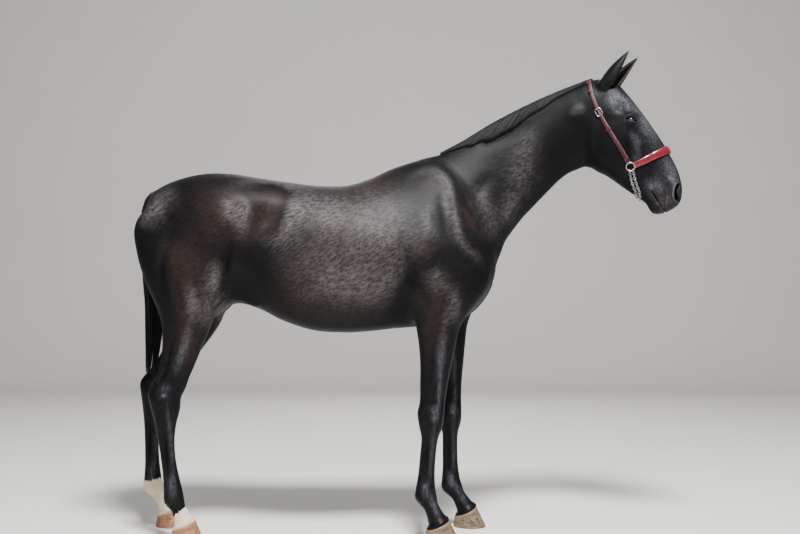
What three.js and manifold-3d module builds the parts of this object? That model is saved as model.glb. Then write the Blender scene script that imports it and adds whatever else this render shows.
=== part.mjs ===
// A standing horse at life size, wearing a leather head collar with a chin chain.
// Millimetres. +X is forwards, +Y is the horse's left, +Z is up, and the ground is at Z = 0.
// The body is a handful of lofts in the sagittal plane, melted into each other, then parted by thin cuts.
import * as THREE from "three";
import { mergeVertices } from "three/addons/utils/BufferGeometryUtils.js";
import Module from "manifold-3d";

const wasm = await Module();
wasm.setup();

const RIGHT = -1;
const LEFT = 1;
const GAP = 0.5; // between neighbouring pieces
const CLEAR = 3; // leather and hair lie this far above the facets of the skin
const MELT = 46; // how widely two lofts melt into each other
const HIDDEN = 14; // a corner this far inside another loft stays inside it
const WRAP = 80; // the trunk's grid stretches this far out, over the tops of the limbs
const COVERED = 55; // where the limbs are nearer than this to the trunk, its grid covers them
const SUNK = 14; // there they lie this far under it
const LIMB_TOP = 1015; // above this height a limb belongs to the trunk
const FAR = 3000; // longer than the horse
const CORNERS = { trunk: 18, neck: 16, head: 18, leg: 11, tail: 10, bar: 3 }; // around each section

// ---------------------------------------------------------------- driving dimensions

// The head and neck turn to the right about a vertical axis, along this stretch of X.
const TURN_FROM = 330;
const TURN_TO = 860;
const TURN_ANGLE = THREE.MathUtils.degToRad(14);

// Each section runs from its top (or front) edge to its bottom (or back) edge, as [x, z].
// half is half its width, level the share of its height at which it is widest, counted from the
// bottom edge, and full the roundness of its upper and lower half: 2 is an ellipse, more is squarer.
const TRUNK = {
  seat: { top: [-1120, 1410], bottom: [-1108, 1270], half: 62, level: 0.5 },
  buttocks: { top: [-1104, 1468], bottom: [-1092, 1180], half: 124, level: 0.5 },
  dock: { top: [-1052, 1506], bottom: [-1042, 1060], half: 180, level: 0.55 },
  rump: { top: [-970, 1537], bottom: [-962, 965], half: 226, level: 0.6, full: [2.1, 2.2] },
  croup: { top: [-860, 1558], bottom: [-860, 918], half: 254, level: 0.64, full: [2.1, 2.2] },
  hips: { top: [-745, 1556], bottom: [-745, 985], half: 262, level: 0.66, full: [2.2, 2.4] },
  haunch: { top: [-640, 1540], bottom: [-640, 968], half: 256, level: 0.62, full: [2.3, 2.3] },
  loin: { top: [-520, 1524], bottom: [-520, 910], half: 262, level: 0.5, full: [2.15, 2.2] },
  belly: { top: [-390, 1508], bottom: [-390, 870], half: 280, level: 0.47, full: [2.05, 2.2] },
  barrel: { top: [-255, 1508], bottom: [-255, 861], half: 288, level: 0.47, full: [1.95, 2.2] },
  back: { top: [-150, 1540], bottom: [-150, 867], half: 280, level: 0.47, full: [1.75, 2.2] },
  ribs: { top: [-50, 1586], bottom: [-50, 878], half: 262, level: 0.46, full: [1.55, 2.2] },
  withers: { top: [40, 1612], bottom: [50, 886], half: 244, level: 0.45, full: [1.5, 2.2] },
  shoulder: { top: [130, 1616], bottom: [150, 896], half: 230, level: 0.43, full: [1.6, 2.3] },
  arm: { top: [225, 1560], bottom: [240, 918], half: 212, level: 0.43, full: [1.8, 2.4] },
  breast: { top: [310, 1450], bottom: [312, 962], half: 182, level: 0.45, full: [2, 2.5] },
  chest: { top: [374, 1330], bottom: [370, 1040], half: 134, level: 0.46, full: [2, 2.4] },
  forechest: { top: [405, 1240], bottom: [400, 1140], half: 62, level: 0.5 },
};
const NECK = {
  root: { top: [-40, 1530], bottom: [240, 1080], half: 140, level: 0.45 },
  base: { top: [72, 1608], bottom: [392, 1180], half: 140, level: 0.42, full: [1.7, 2.1] },
  low: { top: [170, 1654], bottom: [446, 1268], half: 112, level: 0.42, full: [1.7, 2.1] },
  crestLow: { top: [270, 1708], bottom: [500, 1342], half: 90, level: 0.42, full: [1.75, 2] },
  middle: { top: [370, 1770], bottom: [566, 1412], half: 77, level: 0.45, full: [1.8, 2] },
  crestHigh: { top: [470, 1824], bottom: [622, 1470], half: 70, level: 0.48, full: [1.8, 2] },
  high: { top: [572, 1872], bottom: [674, 1522], half: 67, level: 0.52, full: [1.85, 2] },
  nape: { top: [664, 1910], bottom: [718, 1554], half: 68, level: 0.56, full: [1.9, 2] },
  throat: { top: [748, 1940], bottom: [762, 1572], half: 70, level: 0.6, full: [2, 2] },
  poll: { top: [822, 1962], bottom: [812, 1600], half: 68, level: 0.6 },
  atlas: { top: [876, 1952], bottom: [862, 1680], half: 44, level: 0.6 },
};
const HEAD = {
  back: { top: [800, 1915], bottom: [752, 1770], half: 36, level: 0.6 },
  jaw: { top: [846, 1944], bottom: [780, 1640], half: 62, level: 0.6 },
  jowl: { top: [886, 1956], bottom: [800, 1588], half: 76, level: 0.6, full: [2.1, 2.4] },
  brow: { top: [930, 1936], bottom: [832, 1560], half: 88, level: 0.62, full: [2.3, 2.6] },
  temple: { top: [968, 1892], bottom: [870, 1540], half: 97, level: 0.66, full: [2.5, 2.6] },
  orbit: { top: [1004, 1843], bottom: [908, 1513], half: 98, level: 0.68, full: [2.6, 2.5] },
  cheek: { top: [1040, 1792], bottom: [946, 1483], half: 84, level: 0.64, full: [2.5, 2.4] },
  crest: { top: [1074, 1740], bottom: [980, 1458], half: 70, level: 0.6, full: [2.4, 2.3] },
  nose: { top: [1107, 1688], bottom: [1010, 1436], half: 58, level: 0.58, full: [2.3, 2.2] },
  bridge: { top: [1138, 1632], bottom: [1032, 1418], half: 51, level: 0.56, full: [2.3, 2.2] },
  upperLip: { top: [1164, 1580], bottom: [1044, 1402], half: 50, level: 0.55, full: [2.3, 2.2] },
  nostril: { top: [1182, 1530], bottom: [1052, 1386], half: 54, level: 0.6, full: [2.3, 2.2] },
  muzzle: { top: [1191, 1478], bottom: [1068, 1370], half: 56, level: 0.62, full: [2.4, 2.3] },
  lips: { top: [1186, 1430], bottom: [1098, 1368], half: 47, level: 0.56, full: [2.3, 2.3] },
  mouth: { top: [1170, 1398], bottom: [1124, 1372], half: 26, level: 0.5 },
};
// The tail hangs in the cleft of the rump; its sections run from back to front.
const TAIL = {
  root: { top: [-1060, 1500], bottom: [-1050, 1430], half: 24 },
  dock: { top: [-1118, 1472], bottom: [-1080, 1400], half: 30 },
  fold: { top: [-1148, 1410], bottom: [-1090, 1370], half: 34 },
  upper: { top: [-1156, 1300], bottom: [-1084, 1290], half: 36 },
  hair: { top: [-1146, 1140], bottom: [-1074, 1140], half: 42 },
  fall: { top: [-1130, 980], bottom: [-1062, 980], half: 44 },
  thin: { top: [-1124, 820], bottom: [-1072, 820], half: 34 },
  tip: { top: [-1118, 700], bottom: [-1092, 700], half: 14 },
};

// A leg hangs on joints given as [x, z, distance from the mid-plane]. A ring of flesh sits on the
// bone between two joints: along is its share of the bone, ahead and behind its reach from the bone.
const FORE_RINGS = [
  { bone: 0, along: -0.3, ahead: 60, behind: 60, half: 20 },
  { bone: 0, along: 0.08, ahead: 140, behind: 120, half: 54 },
  { bone: 0, along: 0.38, ahead: 152, behind: 136, half: 70 },
  { bone: 0, along: 0.64, ahead: 138, behind: 130, half: 73 },
  { bone: 0, along: 0.87, ahead: 116, behind: 115, half: 69 },
  { bone: 1, along: 0.08, ahead: 94, behind: 100, half: 63 },
  { bone: 1, along: 0.28, ahead: 82, behind: 80, half: 55 },
  { bone: 1, along: 0.48, ahead: 72, behind: 67, half: 48 },
  { bone: 1, along: 0.68, ahead: 62, behind: 61, half: 42 },
  { bone: 1, along: 0.86, ahead: 57, behind: 56, half: 41 },
  { bone: 1, along: 0.98, ahead: 57, behind: 62, half: 46, full: 2.3 },
  { bone: 2, along: 0.13, ahead: 54, behind: 53, half: 43, full: 2.3 },
  { bone: 2, along: 0.3, ahead: 39, behind: 38, half: 33 },
  { bone: 2, along: 0.5, ahead: 35, behind: 37, half: 27 },
  { bone: 2, along: 0.75, ahead: 36, behind: 40, half: 27 },
  { bone: 2, along: 0.93, ahead: 42, behind: 46, half: 34 },
  { bone: 3, along: 0.06, ahead: 45, behind: 52, half: 38 },
  { bone: 3, along: 0.26, ahead: 40, behind: 47, half: 34 },
  { bone: 3, along: 0.5, ahead: 34, behind: 35, half: 30 },
  { bone: 3, along: 0.78, ahead: 38, behind: 38, half: 37 },
  { bone: 3, along: 1.12, ahead: 46, behind: 46, half: 50 },
];
const HIND_RINGS = [
  { bone: 0, along: -0.72, ahead: 40, behind: 120, half: 24 },
  { bone: 0, along: -0.52, ahead: 100, behind: 196, half: 62 },
  { bone: 0, along: -0.3, ahead: 150, behind: 222, half: 88 },
  { bone: 0, along: -0.06, ahead: 190, behind: 216, half: 106 },
  { bone: 0, along: 0.2, ahead: 190, behind: 200, half: 114 },
  { bone: 0, along: 0.48, ahead: 164, behind: 174, half: 110 },
  { bone: 0, along: 0.74, ahead: 134, behind: 147, half: 100 },
  { bone: 0, along: 0.95, ahead: 116, behind: 126, half: 86 },
  { bone: 1, along: 0.12, ahead: 106, behind: 102, half: 74 },
  { bone: 1, along: 0.32, ahead: 96, behind: 80, half: 62 },
  { bone: 1, along: 0.52, ahead: 88, behind: 62, half: 51 },
  { bone: 1, along: 0.72, ahead: 80, behind: 58, half: 42 },
  { bone: 1, along: 0.88, ahead: 76, behind: 72, half: 42, full: 2.2 },
  { bone: 2, along: 0.0, ahead: 70, behind: 74, half: 47, full: 2.3 },
  { bone: 2, along: 0.13, ahead: 60, behind: 66, half: 45, full: 2.3 },
  { bone: 2, along: 0.28, ahead: 40, behind: 56, half: 36 },
  { bone: 2, along: 0.44, ahead: 27, behind: 48, half: 29 },
  { bone: 2, along: 0.62, ahead: 24, behind: 41, half: 27 },
  { bone: 2, along: 0.8, ahead: 31, behind: 41, half: 28 },
  { bone: 2, along: 0.94, ahead: 40, behind: 44, half: 35 },
  { bone: 3, along: 0.06, ahead: 42, behind: 48, half: 38 },
  { bone: 3, along: 0.28, ahead: 37, behind: 46, half: 34 },
  { bone: 3, along: 0.52, ahead: 32, behind: 34, half: 30 },
  { bone: 3, along: 0.8, ahead: 38, behind: 38, half: 37 },
  { bone: 3, along: 1.12, ahead: 46, behind: 46, half: 48 },
];
const LEGS = {
  fore_right: {
    side: RIGHT, rings: FORE_RINGS,
    joints: [[215, 1200, 140], [143, 930, 146], [111, 520, 138], [87, 200, 136], [136, 82, 138]],
  },
  fore_left: {
    side: LEFT, rings: FORE_RINGS,
    joints: [[215, 1200, 140], [192, 930, 146], [202, 508, 138], [208, 194, 136], [271, 84, 140]],
  },
  hind_right: {
    side: RIGHT, rings: HIND_RINGS,
    joints: [[-925, 1220, 130], [-915, 930, 140], [-1005, 600, 140], [-965, 190, 140], [-922, 82, 142]],
  },
  hind_left: {
    side: LEFT, rings: HIND_RINGS,
    joints: [[-925, 1220, 130], [-932, 930, 140], [-1116, 618, 140], [-1124, 192, 142], [-1056, 86, 144]],
  },
};

const LEG_TOP = 850; // the legs are parted from the trunk just below the belly
const NECK_CUTS = {
  head: { at: [790, 0, 1760], direction: [1, 0, 0.11] },
  neck: { at: [262, 0, 1430], direction: [0.72, 0, 0.66] },
};

const EYE = { x: 982, y: 82, z: 1758, radius: 20 };
// The two ears are pricked, the left one further forwards.
const EAR = {
  right: { base: [868, -46, 1925], tip: [974, -58, 2061] },
  left: { base: [884, 46, 1925], tip: [1010, 56, 2059] },
  opening: [0.8, 0.6, 0],
  width: 74, thick: 15, tipThick: 2.5, cup: 14, bow: 7,
  outline: { from: 0.3, to: 0.985, lean: 1.25, round: 0.8 }, // widest below its middle
};
const HOOF = {
  heelWidth: 0.85, // of the greatest width
  fore: {
    slant: 20, toeHeight: 90, heelHeight: 46, pitch: 0.43, kneeAbove: 62, fetlockAbove: 34,
    coronet: { length: 96, width: 104 }, sole: { length: 146, width: 128 },
  },
  hind: {
    slant: 16, toeHeight: 88, heelHeight: 47, pitch: 0.41, kneeAbove: 92, fetlockAbove: 34,
    coronet: { length: 94, width: 98 }, sole: { length: 138, width: 120 },
  },
};

// The head collar, on the right side of the head; the left side is its mirror image.
const HALTER = {
  slope: 0.5,
  ring: { at: [979, 84, 1563], radius: 17, thick: 3 },
  buckle: { at: [849, 79, 1802], radius: 14, thick: 2.5, stretch: 1.35 },
  cheek: [
    [972, 70, 1577], [934, 80, 1650], [890, 80, 1728],
    [849, 75, 1802], [822, 62, 1872], [808, 42, 1935],
  ],
  crown: [804, 0, 1962],
  nose: [[988, 70, 1568], [1035, 64, 1590], [1085, 52, 1616], [1118, 30, 1634]],
  bridge: [1132, 0, 1640],
  chain: [[981, 76, 1545], [986, 66, 1500], [995, 44, 1460]],
  chin: [1000, 0, 1438],
  strapWidth: 20, strapThick: 6, noseWidth: 28, rollWidth: 40, rollThick: 13, chainRadius: 5,
};
const MANE = {
  from: 0.24, to: 0.8, // along the crest
  fall: 88, left: 14, right: -60, thick: 16, edge: 5,
  outline: { from: 0.08, to: 0.82, round: 0.4 },
};

const FINISH = {
  coat: { colour: "#1d1b1b", roughness: 0.55 },
  sock: { colour: "#d9d2c8", roughness: 0.75 },
  horn: { colour: "#8a7660", roughness: 0.6 },
  eye: { colour: "#120d0a", roughness: 0.08 },
  mane: { colour: "#0d0d0f", roughness: 0.6 },
  leather: { colour: "#5a1018", roughness: 0.45 },
  patent: { colour: "#a01222", roughness: 0.15 },
  metal: { colour: "#b9bbbd", roughness: 0.28, metalness: 1 },
};

// ---------------------------------------------------------------- lofts

const mix = (a, b, t) => a + (b - a) * t;
const clamp = (x, low, high) => Math.min(high, Math.max(low, x));

// A smooth value through four numbers, t of the way from b to c.
function through(a, b, c, d, t) {
  const bend = 2 * a - 5 * b + 4 * c - d;
  const turn = 3 * (b - c) + d - a;
  return b + 0.5 * t * (c - a + t * (bend + t * turn));
}

function smoothMin(a, b, width) {
  const h = clamp(0.5 + (0.5 * (b - a)) / width, 0, 1);
  return mix(b, a, h) - width * h * (1 - h);
}

class Loft {
  // sections: {top, bottom, half, level, full, y}. between: rings per stretch. around: corners per ring.
  constructor(sections, between, around) {
    const rows = sections.map((s) => {
      const full = Array.isArray(s.full) ? s.full : [s.full ?? 2, s.full ?? 2];
      return [...s.top, ...s.bottom, s.half, s.level ?? 0.5, ...full, s.y ?? 0];
    });
    const row = (i) => rows[clamp(i, 0, rows.length - 1)];
    this.around = around;
    this.rings = [];
    for (let i = 0; i + 1 < rows.length; i++)
      for (let j = 0; j < between; j++)
        this.rings.push(
          row(i).map((_, k) =>
            through(row(i - 1)[k], row(i)[k], row(i + 1)[k], row(i + 2)[k], j / between),
          ),
        );
    this.rings.push(rows.at(-1));
    const [first, last] = [this.rings[0], this.rings.at(-1)];
    const run = [last[0] + last[2] - first[0] - first[2], last[1] + last[3] - first[1] - first[3]];
    const forwards = run[0] * (first[1] - first[3]) > run[1] * (first[0] - first[2]) ? 1 : -1;
    this.planes = this.rings.map((r) => {
      const length = forwards * Math.hypot(r[0] - r[2], r[1] - r[3]);
      return [(r[1] - r[3]) / length, (r[2] - r[0]) / length];
    });
  }

  // Distance from a ring's outline, to first order, for a point in its plane.
  static offRing(r, x, y, z) {
    const length = Math.hypot(r[0] - r[2], r[1] - r[3]);
    const rise = ((x - r[2]) * (r[0] - r[2]) + (z - r[3]) * (r[1] - r[3])) / length - r[5] * length;
    const reach = rise > 0 ? length * (1 - r[5]) : length * r[5];
    const power = rise > 0 ? r[6] : r[7];
    const up = Math.abs(rise) / reach;
    const out = Math.abs(y - r[8]) / r[4];
    const f = Math.pow(Math.pow(up, power) + Math.pow(out, power), 1 / power);
    if (f < 0.2) return -0.8 * Math.min(reach, r[4]);
    const slope = Math.hypot(Math.pow(up / f, power - 1) / reach, Math.pow(out / f, power - 1) / r[4]);
    return (f - 1) / slope;
  }

  distance(x, y, z) {
    const ahead = (j) => {
      const [ring, plane] = [this.rings[j], this.planes[j]];
      return (x - ring[0]) * plane[0] + (z - ring[1]) * plane[1];
    };
    const pastEnd = (ring, beyond) => Math.hypot(Math.max(0, Loft.offRing(ring, x, y, z)), beyond);
    let here = ahead(0);
    let best = here < 0 ? pastEnd(this.rings[0], here) : Infinity;
    for (let j = 0; j + 1 < this.rings.length; j++) {
      const next = ahead(j + 1);
      if (here >= 0 && next < 0) {
        const t = here / (here - next);
        const ring = this.rings[j].map((value, k) => mix(value, this.rings[j + 1][k], t));
        best = Math.min(best, Loft.offRing(ring, x, y, z));
      }
      here = next;
    }
    return here < 0 ? best : Math.min(best, pastEnd(this.rings.at(-1), here));
  }

  // A sphere's grid, stretched over the rings: its poles close the two ends. The corners then go
  // where place puts them, which is given each corner and the middle of its ring.
  geometry(place = (point) => point) {
    const sphere = new THREE.SphereGeometry(1, this.around, this.rings.length + 1);
    const position = sphere.attributes.position;
    for (let row = 0; row <= this.rings.length + 1; row++) {
      const pole = row === 0 || row === this.rings.length + 1;
      const r = this.rings[clamp(row - 1, 0, this.rings.length - 1)];
      for (let i = 0; i <= this.around; i++) {
        const turn = (2 * Math.PI * (i + 0.5)) / this.around;
        const [rise, out] = pole ? [0, 0] : [Math.cos(turn), Math.sin(turn)];
        const power = 2 / (rise > 0 ? r[6] : r[7]);
        const climb = Math.pow(Math.abs(rise), power);
        const level = rise > 0 ? mix(r[5], 1, climb) : r[5] * (1 - climb);
        const across = Math.sign(out) * Math.pow(Math.abs(out), power) * r[4];
        const point = [mix(r[2], r[0], level), r[8] + across, mix(r[3], r[1], level)];
        const middle = [mix(r[2], r[0], r[5]), r[8], mix(r[3], r[1], r[5])];
        position.setXYZ(row * (this.around + 1) + i, ...place(point, middle));
      }
    }
    return sphere;
  }
}

// Rings of a leg, each square to the bones on either side of it.
function legSections({ side, rings, joints }) {
  const bone = (i) => {
    const [from, to] = [joints[clamp(i, 0, 3)], joints[clamp(i, 0, 3) + 1]];
    return Math.atan2(to[0] - from[0], from[1] - to[1]);
  };
  return rings.map(({ bone: i, along, ahead, behind, half, full }) => {
    const centre = joints[i].map((value, k) => mix(value, joints[i + 1][k], along));
    const middle = clamp(along, 0, 1) - 0.5;
    const neighbour = bone(i + Math.sign(middle));
    const lean = mix(bone(i), neighbour, Math.abs(middle));
    const [dx, dz] = [Math.cos(lean), Math.sin(lean)];
    const top = [centre[0] + ahead * dx, centre[1] + ahead * dz];
    const bottom = [centre[0] - behind * dx, centre[1] - behind * dz];
    return { top, bottom, half, full: full ?? 2, level: behind / (ahead + behind), y: side * centre[2] };
  });
}

// ---------------------------------------------------------------- solids

function turnHead(x, y) {
  const radius = (TURN_TO - TURN_FROM) / TURN_ANGLE;
  const angle = clamp((x - TURN_FROM) / radius, 0, TURN_ANGLE);
  const past = Math.max(0, x - TURN_TO) + Math.min(0, x - TURN_FROM);
  return [
    TURN_FROM + (radius + y) * Math.sin(angle) + past * Math.cos(angle),
    -radius + (radius + y) * Math.cos(angle) - past * Math.sin(angle),
  ];
}

// Moves every corner of a geometry by a function from [x, y, z] to [x, y, z].
function reshape(geometry, move) {
  const position = geometry.attributes.position;
  for (let i = 0; i < position.count; i++)
    position.setXYZ(i, ...move([position.getX(i), position.getY(i), position.getZ(i)]));
  return geometry;
}

const turned = (geometry) => reshape(geometry, ([x, y, z]) => [...turnHead(x, y), z]);

// A closed geometry as a solid, with its faces turned outwards.
function solid(geometry) {
  const bare = new THREE.BufferGeometry();
  bare.setAttribute("position", geometry.attributes.position.clone());
  if (geometry.index) bare.setIndex(geometry.index.clone());
  const merged = mergeVertices(bare, 1e-3);
  const corners = merged.index.array;
  const position = merged.attributes.position;
  const corner = (i) => new THREE.Vector3().fromBufferAttribute(position, i);
  const kept = [];
  let volume = 0;
  for (let i = 0; i < corners.length; i += 3) {
    const [a, b, c] = corners.slice(i, i + 3);
    if (a === b || b === c || c === a) continue;
    kept.push([a, b, c]);
    volume += corner(a).dot(corner(b).cross(corner(c)));
  }
  const triVerts = new Uint32Array(kept.flatMap(([a, b, c]) => (volume > 0 ? [a, b, c] : [a, c, b])));
  return new wasm.Manifold(new wasm.Mesh({ numProp: 3, vertProperties: position.array, triVerts }));
}

const join = (solids) => solids.reduce((whole, piece) => whole.add(piece));

const SPINE = [
  new Loft(Object.values(TRUNK), 2, CORNERS.trunk),
  new Loft(Object.values(NECK), 1, CORNERS.neck),
  new Loft(Object.values(HEAD), 1, CORNERS.head),
];
const LIMBS = Object.values(LEGS).map((leg) => new Loft(legSections(leg), 1, CORNERS.leg));
const LOFTS = [...SPINE, ...LIMBS];

const bodyDistance = (x, y, z) =>
  LOFTS.reduce((near, loft) => smoothMin(near, loft.distance(x, y, z), MELT), FAR);

// Slides a point along the slope of the melted body until it is grow above its surface.
function ontoBody(point, grow) {
  let [x, y, z] = point;
  for (let step = 0; step < 4; step++) {
    const here = bodyDistance(x, y, z) - grow;
    const slope = [
      bodyDistance(x + 1, y, z) - bodyDistance(x - 1, y, z),
      bodyDistance(x, y + 1, z) - bodyDistance(x, y - 1, z),
      bodyDistance(x, y, z + 1) - bodyDistance(x, y, z - 1),
    ].map((v) => v / 2);
    const steep = Math.max(0.3, slope[0] ** 2 + slope[1] ** 2 + slope[2] ** 2);
    [x, y, z] = [x, y, z].map((v, k) => v - (here * slope[k]) / steep);
  }
  return [x, y, z];
}

// Moves a point away from a middle until it meets the surface of the melted body, and then raises it
// by grow. A point that would have to go further than WRAP is deep in a limb, and stays there.
function outwards(point, middle, grow) {
  const way = new THREE.Vector3(...point).sub(new THREE.Vector3(...middle)).normalize();
  const at = new THREE.Vector3(...point);
  let gone = 0;
  for (let step = 0; step < 16 && gone < WRAP; step++) {
    const left = -bodyDistance(at.x, at.y, at.z);
    gone += left;
    at.addScaledVector(way, left);
  }
  return gone < WRAP ? ontoBody(at.toArray(), grow) : point;
}

// The whole body in one piece, its surface raised by grow.
function wholeBody(grow) {
  const trunk = SPINE[0];
  const pieces = LOFTS.map((loft) => {
    const others = LOFTS.filter((other) => other !== loft);
    const place = (point, middle) => {
      if (loft === trunk) return outwards(point, middle, grow);
      const nearTrunk = point[2] > LIMB_TOP && trunk.distance(...point) < COVERED;
      if (LIMBS.includes(loft) && nearTrunk) return ontoBody(point, -SUNK);
      return others.some((other) => other.distance(...point) < -HIDDEN) ? point : ontoBody(point, grow);
    };
    return solid(turned(loft.geometry(place)));
  });
  return join(pieces);
}

// A box that fills all space on the side of a plane that its direction points to.
function halfSpace(point, direction) {
  const box = new THREE.BoxGeometry(FAR, FAR, FAR).translate(0, 0, FAR / 2);
  const turn = new THREE.Quaternion().setFromUnitVectors(new THREE.Vector3(0, 0, 1), direction);
  return solid(box.applyQuaternion(turn).translate(point.x, point.y, point.z));
}

// Parts a body by a thin cut: what lies beyond the plane, and what is left.
function part(body, at, direction) {
  const [point, way] = [new THREE.Vector3(...at), new THREE.Vector3(...direction).normalize()];
  const beyond = body.intersect(halfSpace(point, way));
  const left = body.subtract(halfSpace(point.addScaledVector(way, -GAP), way));
  return [beyond, left];
}

// A hoof stands on a flat sole. Its wall runs down from the coronet, steep at the heels.
function hoof(centre, side, { slant, coronet, sole, toeHeight, heelHeight }) {
  const wall = new THREE.CylinderGeometry(1, 1, 1, 16, 3);
  const [cx, cy] = [centre[0], side * centre[2]];
  return solid(
    reshape(wall, ([x, y, z]) => {
      const down = 0.5 - y;
      const radius = Math.hypot(x, z);
      const angle = Math.atan2(z, x);
      const toe = (1 + radius * Math.cos(angle)) / 2;
      const height = mix(heelHeight, toeHeight, toe) * (1 - down);
      const length = mix(coronet.length, sole.length, down) / 2;
      const narrow = mix(HOOF.heelWidth, 1, Math.min(1, 1.6 * toe));
      const width = (mix(coronet.width, sole.width, down) / 2) * narrow;
      return [
        cx + slant * down + radius * length * Math.cos(angle),
        cy + radius * width * Math.sin(angle),
        height,
      ];
    }),
  );
}

// An ear is a leaf, cupped towards its opening.
function ear(side) {
  const { base, tip } = side === RIGHT ? EAR.right : EAR.left;
  const { outline } = EAR;
  const root = new THREE.Vector3(...base);
  const axis = new THREE.Vector3(...tip).sub(root);
  const opening = new THREE.Vector3(...EAR.opening).multiply(new THREE.Vector3(1, -side, 1));
  opening.projectOnPlane(axis.clone().normalize()).normalize();
  const across = axis.clone().cross(opening).normalize();
  const leaf = new THREE.CylinderGeometry(1, 1, 1, 12, 7);
  return solid(
    turned(
      reshape(leaf, ([x, y, z]) => {
        const along = y + 0.5;
        const arch = Math.sin(Math.PI * Math.pow(mix(outline.from, outline.to, along), outline.lean));
        const width = EAR.width * Math.pow(arch, outline.round);
        const thick = mix(EAR.thick, EAR.tipThick, along);
        const cup = EAR.cup * (x * x - 0.35) * Math.sin(Math.PI * mix(0.15, 1, along));
        const bow = EAR.bow * Math.sin(Math.PI * along);
        const at = root.clone().addScaledVector(axis, along).addScaledVector(across, (width / 2) * x);
        return at.addScaledVector(opening, (thick / 2) * z + cup - bow).toArray();
      }),
    ),
  );
}

const smooth = (path) => new THREE.CatmullRomCurve3(path.map((point) => new THREE.Vector3(...point)));

// A flat strip of leather lying on the body, along a path given as [x, y, z].
function strap(path, { width, thick }) {
  const curve = smooth(path);
  const strip = new THREE.BoxGeometry(1, 1, 1, 2 * path.length, 1, 1);
  const onto = (along, height) => {
    const point = curve.getPoint(clamp(along, 0, 1)).toArray();
    return new THREE.Vector3(...ontoBody(point, height));
  };
  return solid(
    turned(
      reshape(strip, ([x, y, z]) => {
        const along = x + 0.5;
        const here = onto(along, 0);
        const ahead = onto(along + 0.02, 0).sub(onto(along - 0.02, 0)).normalize();
        const out = onto(along, 10).sub(here).normalize();
        const edge = here.addScaledVector(out.cross(ahead).normalize(), width(along) * y);
        return ontoBody(edge.toArray(), CLEAR + thick(along) * (z + 0.5));
      }),
    ),
  );
}

// A round bar bent along a smooth path.
function bar(path, radius) {
  const outline = new THREE.Shape().absarc(0, 0, radius, 0, 2 * Math.PI);
  const sweep = { steps: 3 * path.length, curveSegments: CORNERS.bar, extrudePath: smooth(path) };
  return solid(turned(new THREE.ExtrudeGeometry(outline, sweep)));
}

// A ring or an oval frame that lies on the leather at the cheek, square to the skin.
function frame(at, { radius, thick, stretch = 1 }) {
  const skin = new THREE.Vector3(...ontoBody(at, 0));
  const centre = new THREE.Vector3(...ontoBody(at, CLEAR + HALTER.strapThick));
  const out = centre.clone().sub(skin).normalize();
  const turn = new THREE.Quaternion().setFromUnitVectors(new THREE.Vector3(0, 0, 1), out);
  const torus = new THREE.TorusGeometry(radius, thick, 5, 10).scale(1, stretch, 1);
  const lying = torus.rotateZ(Math.sign(at[1]) * HALTER.slope).applyQuaternion(turn);
  return solid(turned(lying.translate(...centre.toArray())));
}

// The mane lies over the crest and hangs on the right, thinning to its edge.
function mane() {
  const crest = smooth(Object.values(NECK).map(({ top }) => [top[0], 0, top[1]]));
  const sheet = new THREE.BoxGeometry(1, 1, 1, 12, 4, 1);
  return solid(
    turned(
      reshape(sheet, ([x, y, z]) => {
        const top = crest.getPoint(mix(MANE.from, MANE.to, x + 0.5));
        const over = y + 0.5;
        const arch = Math.sin(Math.PI * mix(MANE.outline.from, MANE.outline.to, x + 0.5));
        const fall = MANE.fall * Math.pow(over, 1.4) * Math.pow(arch, MANE.outline.round);
        const guess = [top.x + 0.45 * fall, mix(MANE.left, MANE.right, over), top.z - 0.9 * fall];
        const thick = mix(MANE.thick, MANE.edge, over);
        return ontoBody(guess, z > 0 ? thick : CLEAR);
      }),
    ),
  );
}

const mirrored = (point) => [point[0], -point[1], point[2]];

// ---------------------------------------------------------------- the model

const horse = new THREE.Group();

function addPiece(name, body, { colour, roughness = 0.6, metalness = 0 }) {
  const largest = body.decompose().reduce((a, b) => (a.volume() > b.volume() ? a : b));
  const mesh = largest.getMesh();
  const geometry = new THREE.BufferGeometry();
  geometry.setAttribute("position", new THREE.BufferAttribute(new Float32Array(mesh.vertProperties), 3));
  geometry.setIndex(new THREE.BufferAttribute(new Uint32Array(mesh.triVerts), 1));
  geometry.computeVertexNormals();
  const material = new THREE.MeshStandardMaterial({ color: colour, roughness, metalness });
  const piece = new THREE.Mesh(geometry, material);
  piece.name = name;
  horse.add(piece);
}

const raised = wholeBody(GAP);
let flesh = wholeBody(0);
let piece;

// Eyes sit in sockets, ears stand on the poll.
for (const [word, side] of [["right", RIGHT], ["left", LEFT]]) {
  const ball = (radius) => {
    const sphere = new THREE.SphereGeometry(radius, 12, 6).rotateX(Math.PI / 2);
    return solid(turned(sphere.translate(EYE.x, side * EYE.y, EYE.z)));
  };
  flesh = flesh.subtract(ball(EYE.radius + GAP));
  addPiece(`eye_${word}`, ball(EYE.radius), FINISH.eye);
  addPiece(`ear_${word}`, ear(side).subtract(raised), FINISH.coat);
}
addPiece("mane", mane(), FINISH.mane);
const tail = new Loft(Object.values(TAIL), 1, CORNERS.tail);
addPiece("tail", solid(tail.geometry()).subtract(raised), FINISH.mane);

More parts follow.
